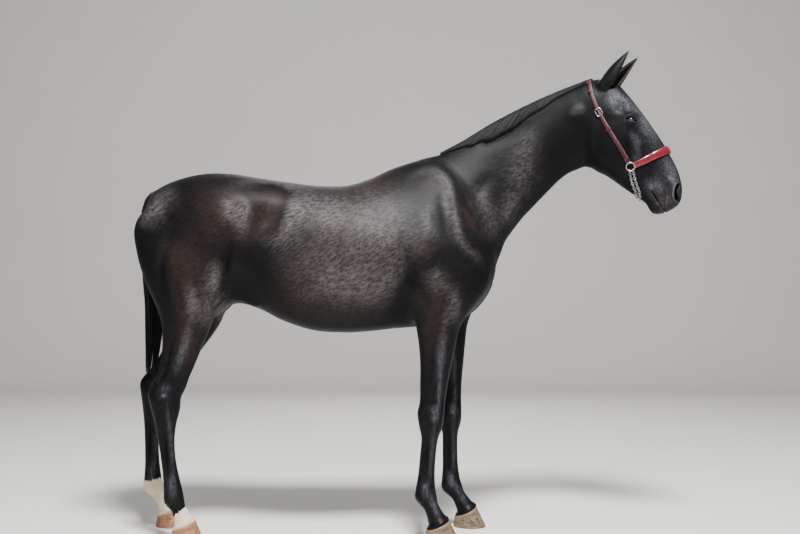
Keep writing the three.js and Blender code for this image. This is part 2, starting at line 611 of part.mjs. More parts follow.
// The head collar: leather cut clear of the metal, and all of it clear of the skin.
const round = (half, middle) => [...half.map(mirrored), middle, ...half.toReversed()];
const metal = (grow) => {
  const { ring, buckle, chain, chin, chainRadius } = HALTER;
  const curb = round(chain, chin).map((point) => ontoBody(point, chainRadius + 2));
  const fatter = (made) => ({ ...made, thick: made.thick + grow });
  const sides = (made) => [made.at, mirrored(made.at)].map((at) => frame(at, fatter(made)));
  return { curb: bar(curb, chainRadius + grow), frames: [ring, buckle].flatMap(sides) };
};
const fat = metal(GAP);
const bright = metal(0);
const crown = strap(round(HALTER.cheek, HALTER.crown), {
  width: () => HALTER.strapWidth,
  thick: () => HALTER.strapThick,
});
const noseband = strap(round(HALTER.nose, HALTER.bridge), {
  width: (along) => mix(HALTER.rollWidth, HALTER.noseWidth, Math.abs(2 * along - 1)),
  thick: (along) => mix(HALTER.rollThick, HALTER.strapThick, Math.abs(2 * along - 1)),
});
const cutClear = (body, tools) => tools.reduce((left, tool) => left.subtract(tool), body);
addPiece("halter_crown", cutClear(crown, [fat.curb, ...fat.frames]), FINISH.leather);
addPiece("halter_noseband", cutClear(noseband, [fat.curb, ...fat.frames]), FINISH.patent);
addPiece("halter_chain", cutClear(bright.curb, fat.frames), FINISH.metal);
const names = ["ring_left", "ring_right", "buckle_left", "buckle_right"];
bright.frames.forEach((made, i) => addPiece(`halter_${names[i]}`, made, FINISH.metal));

// The legs come off below the belly, and are parted at knee or hock, fetlock and coronet.
let legs;
[legs, flesh] = part(flesh, [0, 0, LEG_TOP], [0, 0, -1]);
for (const [name, leg] of Object.entries(LEGS)) {
  const [knee, fetlock, coronet] = leg.joints.slice(2);
  const hind = name.startsWith("hind");
  const foot = HOOF[hind ? "hind" : "fore"];
  let limb = legs.intersect(halfSpace(new THREE.Vector3(), new THREE.Vector3(0, leg.side, 0)));
  limb = limb.intersect(halfSpace(new THREE.Vector3(-400, 0, 0), new THREE.Vector3(hind ? -1 : 1, 0, 0)));
  const rise = (foot.toeHeight + foot.heelHeight) / 2 + GAP;
  const [, shank] = part(limb, [coronet[0], 0, rise], [Math.sin(foot.pitch), 0, -Math.cos(foot.pitch)]);
  const [shin, upper] = part(shank, [0, 0, knee[1] + foot.kneeAbove], [0, 0, -1]);
  const slope = [coronet[0] - fetlock[0], 0, coronet[1] - fetlock[1]];
  const [pastern, cannon] = part(shin, [fetlock[0], 0, fetlock[1] + foot.fetlockAbove], slope);
  addPiece(`${name}_${hind ? "gaskin" : "forearm"}`, upper, FINISH.coat);
  addPiece(`${name}_cannon`, cannon, FINISH.coat);
  addPiece(`${name}_pastern`, pastern, hind ? FINISH.sock : FINISH.coat);
  addPiece(`${name}_hoof`, hoof(coronet, leg.side, foot), FINISH.horn);
}

// Head, neck and trunk.
for (const [name, { at, direction }] of Object.entries(NECK_CUTS)) {
  [piece, flesh] = part(flesh, at, direction);
  addPiece(name, piece, FINISH.coat);
}
addPiece("trunk", flesh, FINISH.coat);

export default horse;
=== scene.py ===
"""Dresses a life-size standing horse: skin, coat, eyes, hooves, mane, tail and head collar.

Sizes are in millimetres, as on the maker's drawings, and MM turns them into Blender's metres. The
horse is shaped looking straight ahead; bend_neck then turns its head and neck to the right.
"""

import logging
import math
from dataclasses import dataclass
from enum import Enum
from typing import Any, Callable, ClassVar, Iterable, NamedTuple, Sequence

import bmesh
import bpy
import numpy as np
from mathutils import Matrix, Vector
from mathutils.kdtree import KDTree


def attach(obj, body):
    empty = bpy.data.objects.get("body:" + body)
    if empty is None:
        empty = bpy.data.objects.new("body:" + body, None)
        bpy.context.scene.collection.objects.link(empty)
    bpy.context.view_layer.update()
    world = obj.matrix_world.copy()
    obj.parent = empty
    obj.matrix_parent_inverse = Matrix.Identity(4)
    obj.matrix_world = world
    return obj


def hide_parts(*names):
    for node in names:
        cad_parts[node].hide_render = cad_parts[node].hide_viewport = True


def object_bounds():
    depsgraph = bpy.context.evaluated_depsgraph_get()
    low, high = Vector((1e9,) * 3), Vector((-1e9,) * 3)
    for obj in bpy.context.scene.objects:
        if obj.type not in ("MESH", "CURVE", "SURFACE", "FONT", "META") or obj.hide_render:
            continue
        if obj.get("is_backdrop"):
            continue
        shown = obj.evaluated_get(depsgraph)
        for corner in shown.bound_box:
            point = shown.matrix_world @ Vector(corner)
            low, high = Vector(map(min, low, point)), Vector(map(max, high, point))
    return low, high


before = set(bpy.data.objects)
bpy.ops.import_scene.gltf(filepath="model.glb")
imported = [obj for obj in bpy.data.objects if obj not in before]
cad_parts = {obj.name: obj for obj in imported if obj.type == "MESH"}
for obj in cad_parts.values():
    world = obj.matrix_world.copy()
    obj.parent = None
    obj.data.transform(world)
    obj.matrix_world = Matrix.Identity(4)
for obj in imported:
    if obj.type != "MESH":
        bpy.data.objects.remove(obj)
CAD_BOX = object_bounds()
LOG = logging.getLogger("horse")
MM = 0.001
UNWRAP = "OFBake"

Mesh, Piece = bpy.types.Mesh, bpy.types.Object
Dice = np.random.Generator  # where random numbers come from, always seeded
Table = Sequence[Sequence[float]]  # rows of numbers
Points = np.ndarray  # one row of x, y, z for each point
Values = np.ndarray  # one number for each point
Triple = tuple[float, float, float]
Solid = tuple[np.ndarray, list[list[int]]]  # the points and faces of a closed shape


class Side(Enum):
    """Which side of the horse a piece belongs to, as the sign of Y."""

    LEFT = 1
    RIGHT = -1

    @property
    def word(self) -> str:
        """The side's name as it is used in the names of the pieces."""
        return self.name.lower()


# ---- small maths


def full_turn(count: int) -> Values:
    """Angles spread evenly over one turn."""
    return np.linspace(0, 2 * math.pi, count, endpoint=False)


def unit(vectors: Points) -> Points:
    """Scales each row to length one."""
    return vectors / np.maximum(np.linalg.norm(vectors, axis=-1, keepdims=True), 1e-9)


def lerp(a: Any, b: Any, t: Any) -> Any:
    """The value a share t of the way from a to b."""
    return a + (b - a) * t


def ease(low: float, high: float, x: Values) -> Values:
    """A smooth step from 0 at low to 1 at high."""
    t = np.clip((x - low) / (high - low), 0, 1)
    return t * t * (3 - 2 * t)


def smooth_min(a: Values, b: Values, width: float) -> Values:
    """The smaller of two distances, melted together over a width."""
    h = np.clip(0.5 + 0.5 * (b - a) / width, 0, 1)
    return lerp(b, a, h) - width * h * (1 - h)


def smooth_max(a: Values, b: Values, width: float) -> Values:
    """The larger of two distances, rounded over a width."""
    return -smooth_min(-a, -b, width)


def spline(knots: Table, at: Values) -> np.ndarray:
    """Points along a smooth curve through its knots.

    Args:
        knots: the places that the curve passes through.
        at: how far along each wanted point lies, from 0 at the first knot to 1 at the last.

    Returns:
        One row for each wanted point.
    """
    rows = np.asarray(knots, float)
    last = len(rows) - 1
    place = np.clip(at, 0, 1) * last
    i = np.minimum(place.astype(int), last - 1)
    t = (place - i)[:, None]
    a, b, c, d = (rows[np.clip(i + k, 0, last)] for k in (-1, 0, 1, 2))
    bend = 2 * a - 5 * b + 4 * c - d
    twist = 3 * (b - c) + d - a
    return b + 0.5 * t * (c - a + t * (bend + t * twist))


def off_path(points: Points, path: Points) -> tuple[Values, Values]:
    """How far each point is from a chain of straight stretches.

    Args:
        points: the places, one row each.
        path: the corners of the chain.

    Returns:
        The distances, and how far along the chain the nearest place is, from 0 to 1.
    """
    best = np.full(len(points), np.inf)
    along = np.zeros(len(points))
    stretches = len(path) - 1
    for i in range(stretches):
        run = path[i + 1] - path[i]
        t = np.clip((points - path[i]) @ run / max(run @ run, 1e-9), 0, 1)
        away = np.linalg.norm(points - path[i] - t[:, None] * run, axis=1)
        nearer = away < best
        best = np.where(nearer, away, best)
        along = np.where(nearer, (i + t) / stretches, along)
    return best, along


def on_left(points: Points) -> Points:
    """The same places on the horse's left side."""
    return points * [1, 0, 1] + np.abs(points) * [0, 1, 0]


# where the neck starts and stops turning, and by how much
TURN_FROM, TURN_TO, TURN_ANGLE = 330.0, 860.0, math.radians(14)


def bend_neck(points: Points) -> Points:
    """Turns what lies ahead of the shoulders to the right, about a vertical axis.

    Args:
        points: places on the horse as it looks straight ahead.

    Returns:
        The same places on the turned horse.
    """
    x, y, z = np.asarray(points, float).T
    radius = (TURN_TO - TURN_FROM) / TURN_ANGLE
    angle = np.clip((x - TURN_FROM) / radius, 0, TURN_ANGLE)
    past = np.maximum(0, x - TURN_TO) + np.minimum(0, x - TURN_FROM)
    ahead = TURN_FROM + (radius + y) * np.sin(angle) + past * np.cos(angle)
    across = -radius + (radius + y) * np.cos(angle) - past * np.sin(angle)
    return np.stack([ahead, across, z], axis=1)


# ---- the horse's form


class Section(NamedTuple):
    """One cut through the body, from its top (or front) edge to its bottom (or back) edge.

    half is half its width, level the share of its height at which it is widest, counted from the
    bottom edge, and upper and lower the roundness of its two halves: 2 is an ellipse.
    """

    top_x: float
    top_z: float
    low_x: float
    low_z: float
    half: float
    level: float = 0.5
    upper: float = 2.0
    lower: float = 2.0
    y: float = 0.0


# the sections of each loft, in the order of a Section's numbers
TRUNK = {
    "seat": (-1120, 1410, -1108, 1270, 62, 0.5),
    "buttocks": (-1104, 1468, -1092, 1180, 124, 0.5),
    "dock": (-1052, 1506, -1042, 1060, 180, 0.55),
    "rump": (-970, 1537, -962, 965, 226, 0.6, 2.1, 2.2),
    "croup": (-860, 1558, -860, 918, 254, 0.64, 2.1, 2.2),
    "hips": (-745, 1556, -745, 985, 262, 0.66, 2.2, 2.4),
    "haunch": (-640, 1540, -640, 968, 256, 0.62, 2.3, 2.3),
    "loin": (-520, 1524, -520, 910, 262, 0.5, 2.15, 2.2),
    "belly": (-390, 1508, -390, 870, 280, 0.47, 2.05, 2.2),
    "barrel": (-255, 1508, -255, 861, 288, 0.47, 1.95, 2.2),
    "back": (-150, 1540, -150, 867, 280, 0.47, 1.75, 2.2),
    "ribs": (-50, 1586, -50, 878, 262, 0.46, 1.55, 2.2),
    "withers": (40, 1612, 50, 886, 244, 0.45, 1.5, 2.2),
    "shoulder": (130, 1616, 150, 896, 230, 0.43, 1.6, 2.3),
    "arm": (225, 1560, 240, 918, 212, 0.43, 1.8, 2.4),
    "breast": (310, 1450, 312, 962, 182, 0.45, 2, 2.5),
    "chest": (374, 1330, 370, 1040, 134, 0.46, 2, 2.4),
    "forechest": (405, 1240, 400, 1140, 62, 0.5),
}
NECK = {
    "root": (-40, 1530, 240, 1080, 140, 0.45),
    "base": (72, 1608, 392, 1180, 140, 0.42, 1.7, 2.1),
    "low": (170, 1654, 446, 1268, 112, 0.42, 1.7, 2.1),
    "crest_low": (270, 1708, 500, 1342, 90, 0.42, 1.75, 2),
    "middle": (370, 1770, 566, 1412, 77, 0.45, 1.8, 2),
    "crest_high": (470, 1824, 622, 1470, 70, 0.48, 1.8, 2),
    "high": (572, 1872, 674, 1522, 67, 0.52, 1.85, 2),
    "nape": (664, 1910, 718, 1554, 68, 0.56, 1.9, 2),
    "throat": (748, 1940, 762, 1572, 70, 0.6, 2, 2),
    "poll": (822, 1962, 812, 1600, 68, 0.6),
    "atlas": (876, 1952, 862, 1680, 44, 0.6),
}
HEAD = {
    "back": (800, 1915, 752, 1770, 36, 0.6),
    "jaw": (846, 1944, 780, 1640, 62, 0.6),
    "jowl": (886, 1956, 800, 1588, 76, 0.6, 2.1, 2.4),
    "brow": (930, 1936, 832, 1560, 88, 0.62, 2.3, 2.6),
    "temple": (968, 1892, 870, 1540, 97, 0.66, 2.5, 2.6),
    "orbit": (1004, 1843, 908, 1513, 98, 0.68, 2.6, 2.5),
    "cheek": (1040, 1792, 946, 1483, 84, 0.64, 2.5, 2.4),
    "crest": (1074, 1740, 980, 1458, 70, 0.6, 2.4, 2.3),
    "nose": (1107, 1688, 1010, 1436, 58, 0.58, 2.3, 2.2),
    "bridge": (1138, 1632, 1032, 1418, 51, 0.56, 2.3, 2.2),
    "upper_lip": (1164, 1580, 1044, 1402, 50, 0.55, 2.3, 2.2),
    "nostril": (1182, 1530, 1052, 1386, 54, 0.6, 2.3, 2.2),
    "muzzle": (1191, 1478, 1068, 1370, 56, 0.62, 2.4, 2.3),
    "lips": (1186, 1430, 1098, 1368, 47, 0.56, 2.3, 2.3),
    "mouth": (1170, 1398, 1124, 1372, 26, 0.5),
}
# flesh around the leg bones: the bone, the share of it, the reach ahead, behind and to the side,
# and how full it is where that isn't 2
FORE_RINGS = [
    (0, -0.3, 60, 60, 20), (0, 0.08, 140, 120, 54), (0, 0.38, 152, 136, 70),
    (0, 0.64, 138, 130, 73), (0, 0.87, 116, 115, 69), (1, 0.08, 94, 100, 63), (1, 0.28, 82, 80, 55),
    (1, 0.48, 72, 67, 48), (1, 0.68, 62, 61, 42), (1, 0.86, 57, 56, 41), (1, 0.98, 57, 62, 46, 2.3),
    (2, 0.13, 54, 53, 43, 2.3), (2, 0.3, 39, 38, 33), (2, 0.5, 35, 37, 27), (2, 0.75, 36, 40, 27),
    (2, 0.93, 42, 46, 34), (3, 0.06, 45, 52, 38), (3, 0.26, 40, 47, 34), (3, 0.5, 34, 35, 30),
    (3, 0.78, 38, 38, 37), (3, 1.12, 46, 46, 50),
]
HIND_RINGS = [
    (0, -0.72, 40, 120, 24), (0, -0.52, 100, 196, 62), (0, -0.3, 150, 222, 88),
    (0, -0.06, 190, 216, 106), (0, 0.2, 190, 200, 114), (0, 0.48, 164, 174, 110),
    (0, 0.74, 134, 147, 100), (0, 0.95, 116, 126, 86), (1, 0.12, 106, 102, 74),
    (1, 0.32, 96, 80, 62), (1, 0.52, 88, 62, 51), (1, 0.72, 80, 58, 42), (1, 0.88, 76, 72, 42, 2.2),
    (2, 0.0, 70, 74, 47, 2.3), (2, 0.13, 60, 66, 45, 2.3), (2, 0.28, 40, 56, 36),
    (2, 0.44, 27, 48, 29), (2, 0.62, 24, 41, 27), (2, 0.8, 31, 41, 28), (2, 0.94, 40, 44, 35),
    (3, 0.06, 42, 48, 38), (3, 0.28, 37, 46, 34), (3, 0.52, 32, 34, 30), (3, 0.8, 38, 38, 37),
    (3, 1.12, 46, 46, 48),
]


@dataclass(frozen=True)
class LegPose:
    """Where one leg's joints are, each as x, z and its distance from the mid-plane."""

    name: str
    side: Side
    rings: Table
    joints: Sequence[Triple]

    @property
    def is_hind(self) -> bool:
        """Whether this is a hind leg."""
        return self.name.startswith("hind")

    @property
    def hoof(self) -> "HoofSize":
        """The sizes of its hoof."""
        return HIND_HOOF if self.is_hind else FORE_HOOF

    def sections(self) -> list[Section]:
        """Turns the leg's rings into sections, each square to the bones on either side of it.

        Returns:
            The sections, from the top down.
        """

        def lean_of(bone: int) -> float:
            """The angle of a bone from the vertical, towards the front."""
            start, end = self.joints[max(0, min(3, bone))], self.joints[max(0, min(3, bone)) + 1]
            return math.atan2(end[0] - start[0], start[1] - end[1])

        made = []
        for bone, along, ahead, behind, half, *full in self.rings:
            start, end = self.joints[bone], self.joints[bone + 1]
            x, z, y = (lerp(a, b, along) for a, b in zip(start, end))
            middle = min(1.0, max(0.0, along)) - 0.5
            beside = lean_of(bone + (middle > 0) - (middle < 0))
            lean = lerp(lean_of(bone), beside, abs(middle))
            dx, dz = math.cos(lean), math.sin(lean)
            top = (x + ahead * dx, z + ahead * dz)
            bottom = (x - behind * dx, z - behind * dz)
            level = behind / (ahead + behind)
            full = full * 2 or (2.0, 2.0)
            made.append(Section(*top, *bottom, half, level, *full, self.side.value * y))
        return made


@dataclass(frozen=True)
class HoofSize:
    """A hoof's sizes: length and width at the coronet and at the sole, heights and pitch."""

    coronet: tuple[float, float]
    sole: tuple[float, float]
    heel: float
    toe: float
    slant: float  # how far the sole lies ahead of the coronet
    pitch: float  # slope of the plane in which the skin ends


FORE_HOOF = HoofSize((96, 104), (146, 128), 46, 90, 20, 0.43)
HIND_HOOF = HoofSize((94, 98), (138, 120), 47, 88, 16, 0.41)
HEEL_WIDTH = 0.85  # as a share of the width ahead of it
LEGS = [
    LegPose(
        "fore_right", Side.RIGHT, FORE_RINGS,
        [(215, 1200, 140), (143, 930, 146), (111, 520, 138), (87, 200, 136), (136, 82, 138)],
    ),
    LegPose(
        "fore_left", Side.LEFT, FORE_RINGS,
        [(215, 1200, 140), (192, 930, 146), (202, 508, 138), (208, 194, 136), (271, 84, 140)],
    ),
    LegPose(
        "hind_right", Side.RIGHT, HIND_RINGS,
        [(-925, 1220, 130), (-915, 930, 140), (-1005, 600, 140), (-965, 190, 140), (-922, 82, 142)],
    ),
    LegPose(
        "hind_left", Side.LEFT, HIND_RINGS,
        [(-925, 1220, 130), (-932, 930, 140), (-1116, 618, 140), (-1124, 192, 142),
         (-1056, 86, 144)],
    ),
]


class Loft:
    """Flesh stretched over a row of sections, with finer rings worked out between them."""

    REACH = 110.0  # further out than this a loft has no say

    def __init__(
        self,
        sections: Iterable[Sequence[float]],
        between: int,
        ends: tuple[float, float] = (0, 0),
    ) -> None:
        """Works out the rings.

        Args:
            sections: the cuts that the flesh passes through, in order.
            between: how many rings there are for each stretch from one section to the next.
            ends: how widely its first and last edges are rounded, or 0 for an end inside the body.
        """
        self.ends = ends
        knots = [Section(*numbers) for numbers in sections]
        steps = np.linspace(0, 1, (len(knots) - 1) * between + 1)
        self.rings = spline(knots, steps)
        tops, bottoms = self.rings[:, 0:2], self.rings[:, 2:4]
        run = (tops + bottoms)[-1] - (tops + bottoms)[0]
        rise = tops - bottoms
        sign = 1.0 if run[0] * rise[0, 1] > run[1] * rise[0, 0] else -1.0
        length = sign * np.linalg.norm(rise, axis=1)
        self.planes = np.stack([rise[:, 1] / length, -rise[:, 0] / length], axis=1)
        corners = np.vstack([tops, bottoms])
        wide = self.rings[:, 4].max() + self.REACH
        middle = self.rings[:, 8]
        low, high = corners.min(0) - self.REACH, corners.max(0) + self.REACH
        self.low = np.array([low[0], middle.min() - wide, low[1]])
        self.high = np.array([high[0], middle.max() + wide, high[1]])

    @staticmethod
    def off_ring(rings: np.ndarray, points: Points) -> Values:
        """Distance from the outline of a ring, to first order.

        Args:
            rings: the ring that each point is measured against, one row each.
            points: the points, each in the plane of its ring.

        Returns:
            The distances, negative inside.
        """
        top_x, top_z, low_x, low_z, half, level, upper, lower, middle = rings.T
        length = np.hypot(top_x - low_x, top_z - low_z)
        along = (points[:, 0] - low_x) * (top_x - low_x) + (points[:, 2] - low_z) * (top_z - low_z)
        rise = along / length - level * length
        above = rise > 0
        reach = np.where(above, length * (1 - level), length * level)
        power = np.where(above, upper, lower)
        up = np.abs(rise) / reach
        out = np.abs(points[:, 1] - middle) / half
        f = np.maximum((up**power + out**power) ** (1 / power), 1e-6)
        slope = np.hypot((up / f) ** (power - 1) / reach, (out / f) ** (power - 1) / half)
        return np.where(f < 0.2, -0.8 * np.minimum(reach, half), (f - 1) / slope)

    def distance(self, points: Points) -> Values:
        """Distance from the loft's surface, negative inside, for points that may lie anywhere.

        Args:
            points: the places, one row each.

        Returns:
            The distances.
        """
        best = np.full(len(points), 1e4)
        near = np.flatnonzero(((points > self.low) & (points < self.high)).all(1))
        if not len(near):
            return best
        spots = points[near]
        found = np.full(len(near), 1e4)
        here = self._ahead(0, spots)
        found = self._past_end(0, spots, here, here < 0, found)
        for j in range(len(self.rings) - 1):
            after = self._ahead(j + 1, spots)
            inside = np.flatnonzero((here >= 0) & (after < 0))
            if len(inside):
                t = here[inside] / (here[inside] - after[inside])
                rings = lerp(self.rings[j], self.rings[j + 1], t[:, None])
                found[inside] = np.minimum(found[inside], self.off_ring(rings, spots[inside]))
            here = after
        found = self._past_end(-1, spots, here, here >= 0, found)
        for width, ahead in zip(self.ends, (-self._ahead(0, spots), here)):
            if width:
                found = smooth_max(found, ahead, width)
        best[near] = found
        return best

    def _ahead(self, j: int, points: Points) -> Values:
        """How far each point lies ahead of the plane of ring j."""
        ring, plane = self.rings[j], self.planes[j]
        return (points[:, 0] - ring[0]) * plane[0] + (points[:, 2] - ring[1]) * plane[1]

    def _past_end(
        self, j: int, points: Points, beyond: Values, which: Values, found: Values
    ) -> Values:
        """Adds the distance to the end at ring j for the points that lie past it.

        Args:
            j: the ring.
            points: the places, one row each.
            beyond: how far each point lies past its plane.
            which: which points do.
            found: the distances so far.

        Returns:
            The distances with the end added.
        """
        at = np.flatnonzero(which)
        rings = np.broadcast_to(self.rings[j], (len(at), self.rings.shape[1]))
        flat = self.off_ring(rings, points[at])
        if not self.ends[j]:
            flat = np.hypot(np.maximum(0, flat), beyond[at])
        found[at] = np.minimum(found[at], flat)
        return found


class FleshNet:
    """Finds the surface of a solid form on cubes that are small only where detail is wanted."""

    LEVELS = 4
    COARSE = 24.0  # each level halves the cubes' edge
    REACH = (2.8, 2.8, 2.2, 1.8)  # how near the surface a cube is kept, in its own edges
    CORNERS = np.array([(i, j, k) for i in (0, 1) for j in (0, 1) for k in (0, 1)])

    def __init__(
        self,
        distance: Callable[[Points], Values],
        detail: Callable[[Points], Values],
        low: Points,
        high: Points,
    ) -> None:
        """Keeps what it is given.

        Args:
            distance: gives each point's distance from the surface, negative inside.
            detail: gives the level wanted at each point, from 0 to LEVELS - 1.
            low: the lowest corner of the space to search.
            high: the highest one.
        """
        self.distance, self.detail = distance, detail
        self.low, self.high = np.asarray(low, float), np.asarray(high, float)
        self.top = 1 << (self.LEVELS - 1)
        self.fine = self.COARSE / self.top

    @staticmethod
    def _key(cells: np.ndarray) -> np.ndarray:
        """One whole number for each cube's lowest corner."""
        return cells[:, 0] | (cells[:, 1] << 20) | (cells[:, 2] << 40)

    def _leaves(self) -> list[np.ndarray]:
        """The cubes near the surface, as their lowest corners in the finest steps, by level.

        Returns:
            An array of corners for each level.
        """
        counts = np.ceil((self.high - self.low) / self.COARSE).astype(int)
        ranges = [np.arange(count) * self.top for count in counts]
        cells = np.stack(np.meshgrid(*ranges, indexing="ij"), -1).reshape(-1, 3)
        leaves = []
        for level in range(self.LEVELS):
            size = self.top >> level
            centres = self.low + (cells + size / 2) * self.fine
            near = np.abs(self.distance(centres)) < self.REACH[level] * size * self.fine
            cells, centres = cells[near], centres[near]
            split = self.detail(centres) > level
            leaves.append(cells[~split])
            cells = (cells[split][:, None, :] + self.CORNERS * (size // 2)).reshape(-1, 3)
        return leaves

    def _find(self, spots: np.ndarray) -> tuple[np.ndarray, np.ndarray]:
        """The cube that holds each finest cube, and its size, or -1 where there is none.

        Args:
            spots: the lowest corners of the finest cubes.

        Returns:
            The numbers of the cubes and their sizes.
        """
        found = np.full(len(spots), -1)
        size_of = np.zeros(len(spots), int)
        for level in reversed(range(self.LEVELS)):
            size = self.top >> level
            keys = self._key(spots // size * size)
            place = np.minimum(np.searchsorted(self.keys[level], keys), len(self.keys[level]) - 1)
            hit = (self.keys[level][place] == keys) & (found < 0)
            found[hit] = self.order[level][place[hit]]
            size_of[hit] = size
        return found, size_of

    def surface(self) -> tuple[Points, list[tuple[int, ...]]]:
        """The surface as points and outward faces of three or four corners.

        Returns:
            The points and the faces.
        """
        leaves = self._leaves()
        firsts = np.cumsum([0] + [len(cells) for cells in leaves])
        self.keys, self.order = [], []
        for cells, first in zip(leaves, firsts):
            keys = self._key(cells)
            order = np.argsort(keys)
            self.keys.append(keys[order] if len(keys) else np.array([-1]))
            self.order.append(order + first if len(keys) else np.array([-1]))
        corners = [
            (cells[:, None, :] + self.CORNERS * (self.top >> level)).reshape(-1, 3)
            for level, cells in enumerate(leaves)
        ]
        keys, at = np.unique(self._key(np.vstack(corners)), return_index=True)
        values = self.distance(self.low + np.vstack(corners)[at] * self.fine)
        quads, crossings = [], []
        for level, cells in enumerate(leaves):
            size = self.top >> level
            for axis in range(3):
                made = self._edges(cells, size, axis, keys, values)
                quads.append(made[0])
                crossings.append(made[1])
        quads, crossings = np.vstack(quads), np.vstack(crossings)
        total = np.zeros((firsts[-1], 3))
        for corner in range(4):
            for k in range(3):
                total[:, k] += np.bincount(quads[:, corner], crossings[:, k], firsts[-1])
        count = np.bincount(quads.ravel(), minlength=firsts[-1])
        used = np.flatnonzero(count)
        number = np.full(firsts[-1], -1)
        number[used] = np.arange(len(used))
        points = total[used] / count[used, None]
        faces = []
        for face in number[quads].tolist():
            kept = [v for i, v in enumerate(face) if v != face[i - 1]]
            if len(set(kept)) == len(kept) and len(kept) > 2:
                faces.append(tuple(kept))
        return points, faces

    def _edges(
        self, cells: np.ndarray, size: int, axis: int, keys: np.ndarray, values: Values
    ) -> tuple[np.ndarray, Points]:
        """The faces around those edges of some cubes that cross the surface.

        Args:
            cells: the cubes.
            size: their size in finest steps.
            axis: which way the edges run.
            keys: the sorted keys of all corners.
            values: the distance at each.

        Returns:
            The four cubes around each edge, in outward order, and where each edge is crossed.
        """
        across, upright = (axis + 1) % 3, (axis + 2) % 3
        step = np.eye(3, dtype=int)
        starts = np.unique(
            np.vstack([
                cells + size * (i * step[across] + j * step[upright])
                for i in (0, 1) for j in (0, 1)
            ]),
            axis=0,
        ) if len(cells) else np.zeros((0, 3), int)
        if not len(starts):
            return np.zeros((0, 4), int), np.zeros((0, 3))
        here = values[np.searchsorted(keys, self._key(starts))]
        there = values[np.searchsorted(keys, self._key(starts + size * step[axis]))]
        crossed = (here < 0) != (there < 0)
        starts, here, there = starts[crossed], here[crossed], there[crossed]
        middle = starts + (size // 2) * step[axis]
        around = [(1, 1), (0, 1), (0, 0), (1, 0)]
        cubes, least = [], np.full(len(starts), size)
        for back, down in around:
            found, found_size = self._find(middle - back * step[across] - down * step[upright])
            least = np.where(found < 0, 0, np.minimum(least, found_size))
            cubes.append(found)
        quads = np.stack(cubes, axis=1)
        quads = np.where((here < 0)[:, None], quads, quads[:, ::-1])
        share = here / (here - there)
        crossings = self.low + (starts + share[:, None] * size * step[axis]) * self.fine
        whole = least >= size
        return quads[whole], crossings[whole]


@dataclass(frozen=True)
class Relief:
    """A ridge, a groove or a band of another tone, followed in the side view as x, z.

    height is how far it stands out (or sinks in, where negative), or how strong the tone is, and
    width how wide it is. side is the side of the horse it is on, or None for both.
    """

    path: Sequence[tuple[float, float]]
    height: float
    width: float
    side: Side | None = None

    def at(self, points: Points, normals: Points) -> Values:
        """How far it lifts each point, given which way the skin faces there.

        Args:
            points: the places, one row each.
            normals: which way the skin faces at each.

        Returns:
            The lift, or the strength of the tone, at each.
        """
        flat = points[:, [0, 2]]
        path = np.array(self.path, float)
        if len(path) > 2:
            path = spline(path, np.linspace(0, 1, 6 * len(path)))
        reach = 3 * self.width
        near = ((flat > path.min(0) - reach) & (flat < path.max(0) + reach)).all(1)
        if self.side is not None:
            near &= points[:, 1] * self.side.value > 0
        chosen = np.flatnonzero(near)
        lift = np.zeros(len(points))
        if len(chosen):
            if len(path) > 1:
                away, along = off_path(flat[chosen], path)
                taper = ease(0, 0.45, along) * ease(0, 0.45, 1 - along)
            else:
                away, taper = np.linalg.norm(flat[chosen] - path[0], axis=1), 1.0
            facing = np.sqrt(np.abs(normals[chosen, 1]))
            lift[chosen] = self.height * np.exp(-((away / self.width) ** 2)) * taper * facing
        return lift


def bands(table: Iterable[Sequence[float]]) -> list[Relief]:
    """The bands of a table, each its height, its width, and x and z of each place on its path."""
    return [Relief([*zip(row[2::2], row[3::2])], row[0], row[1]) for row in table]


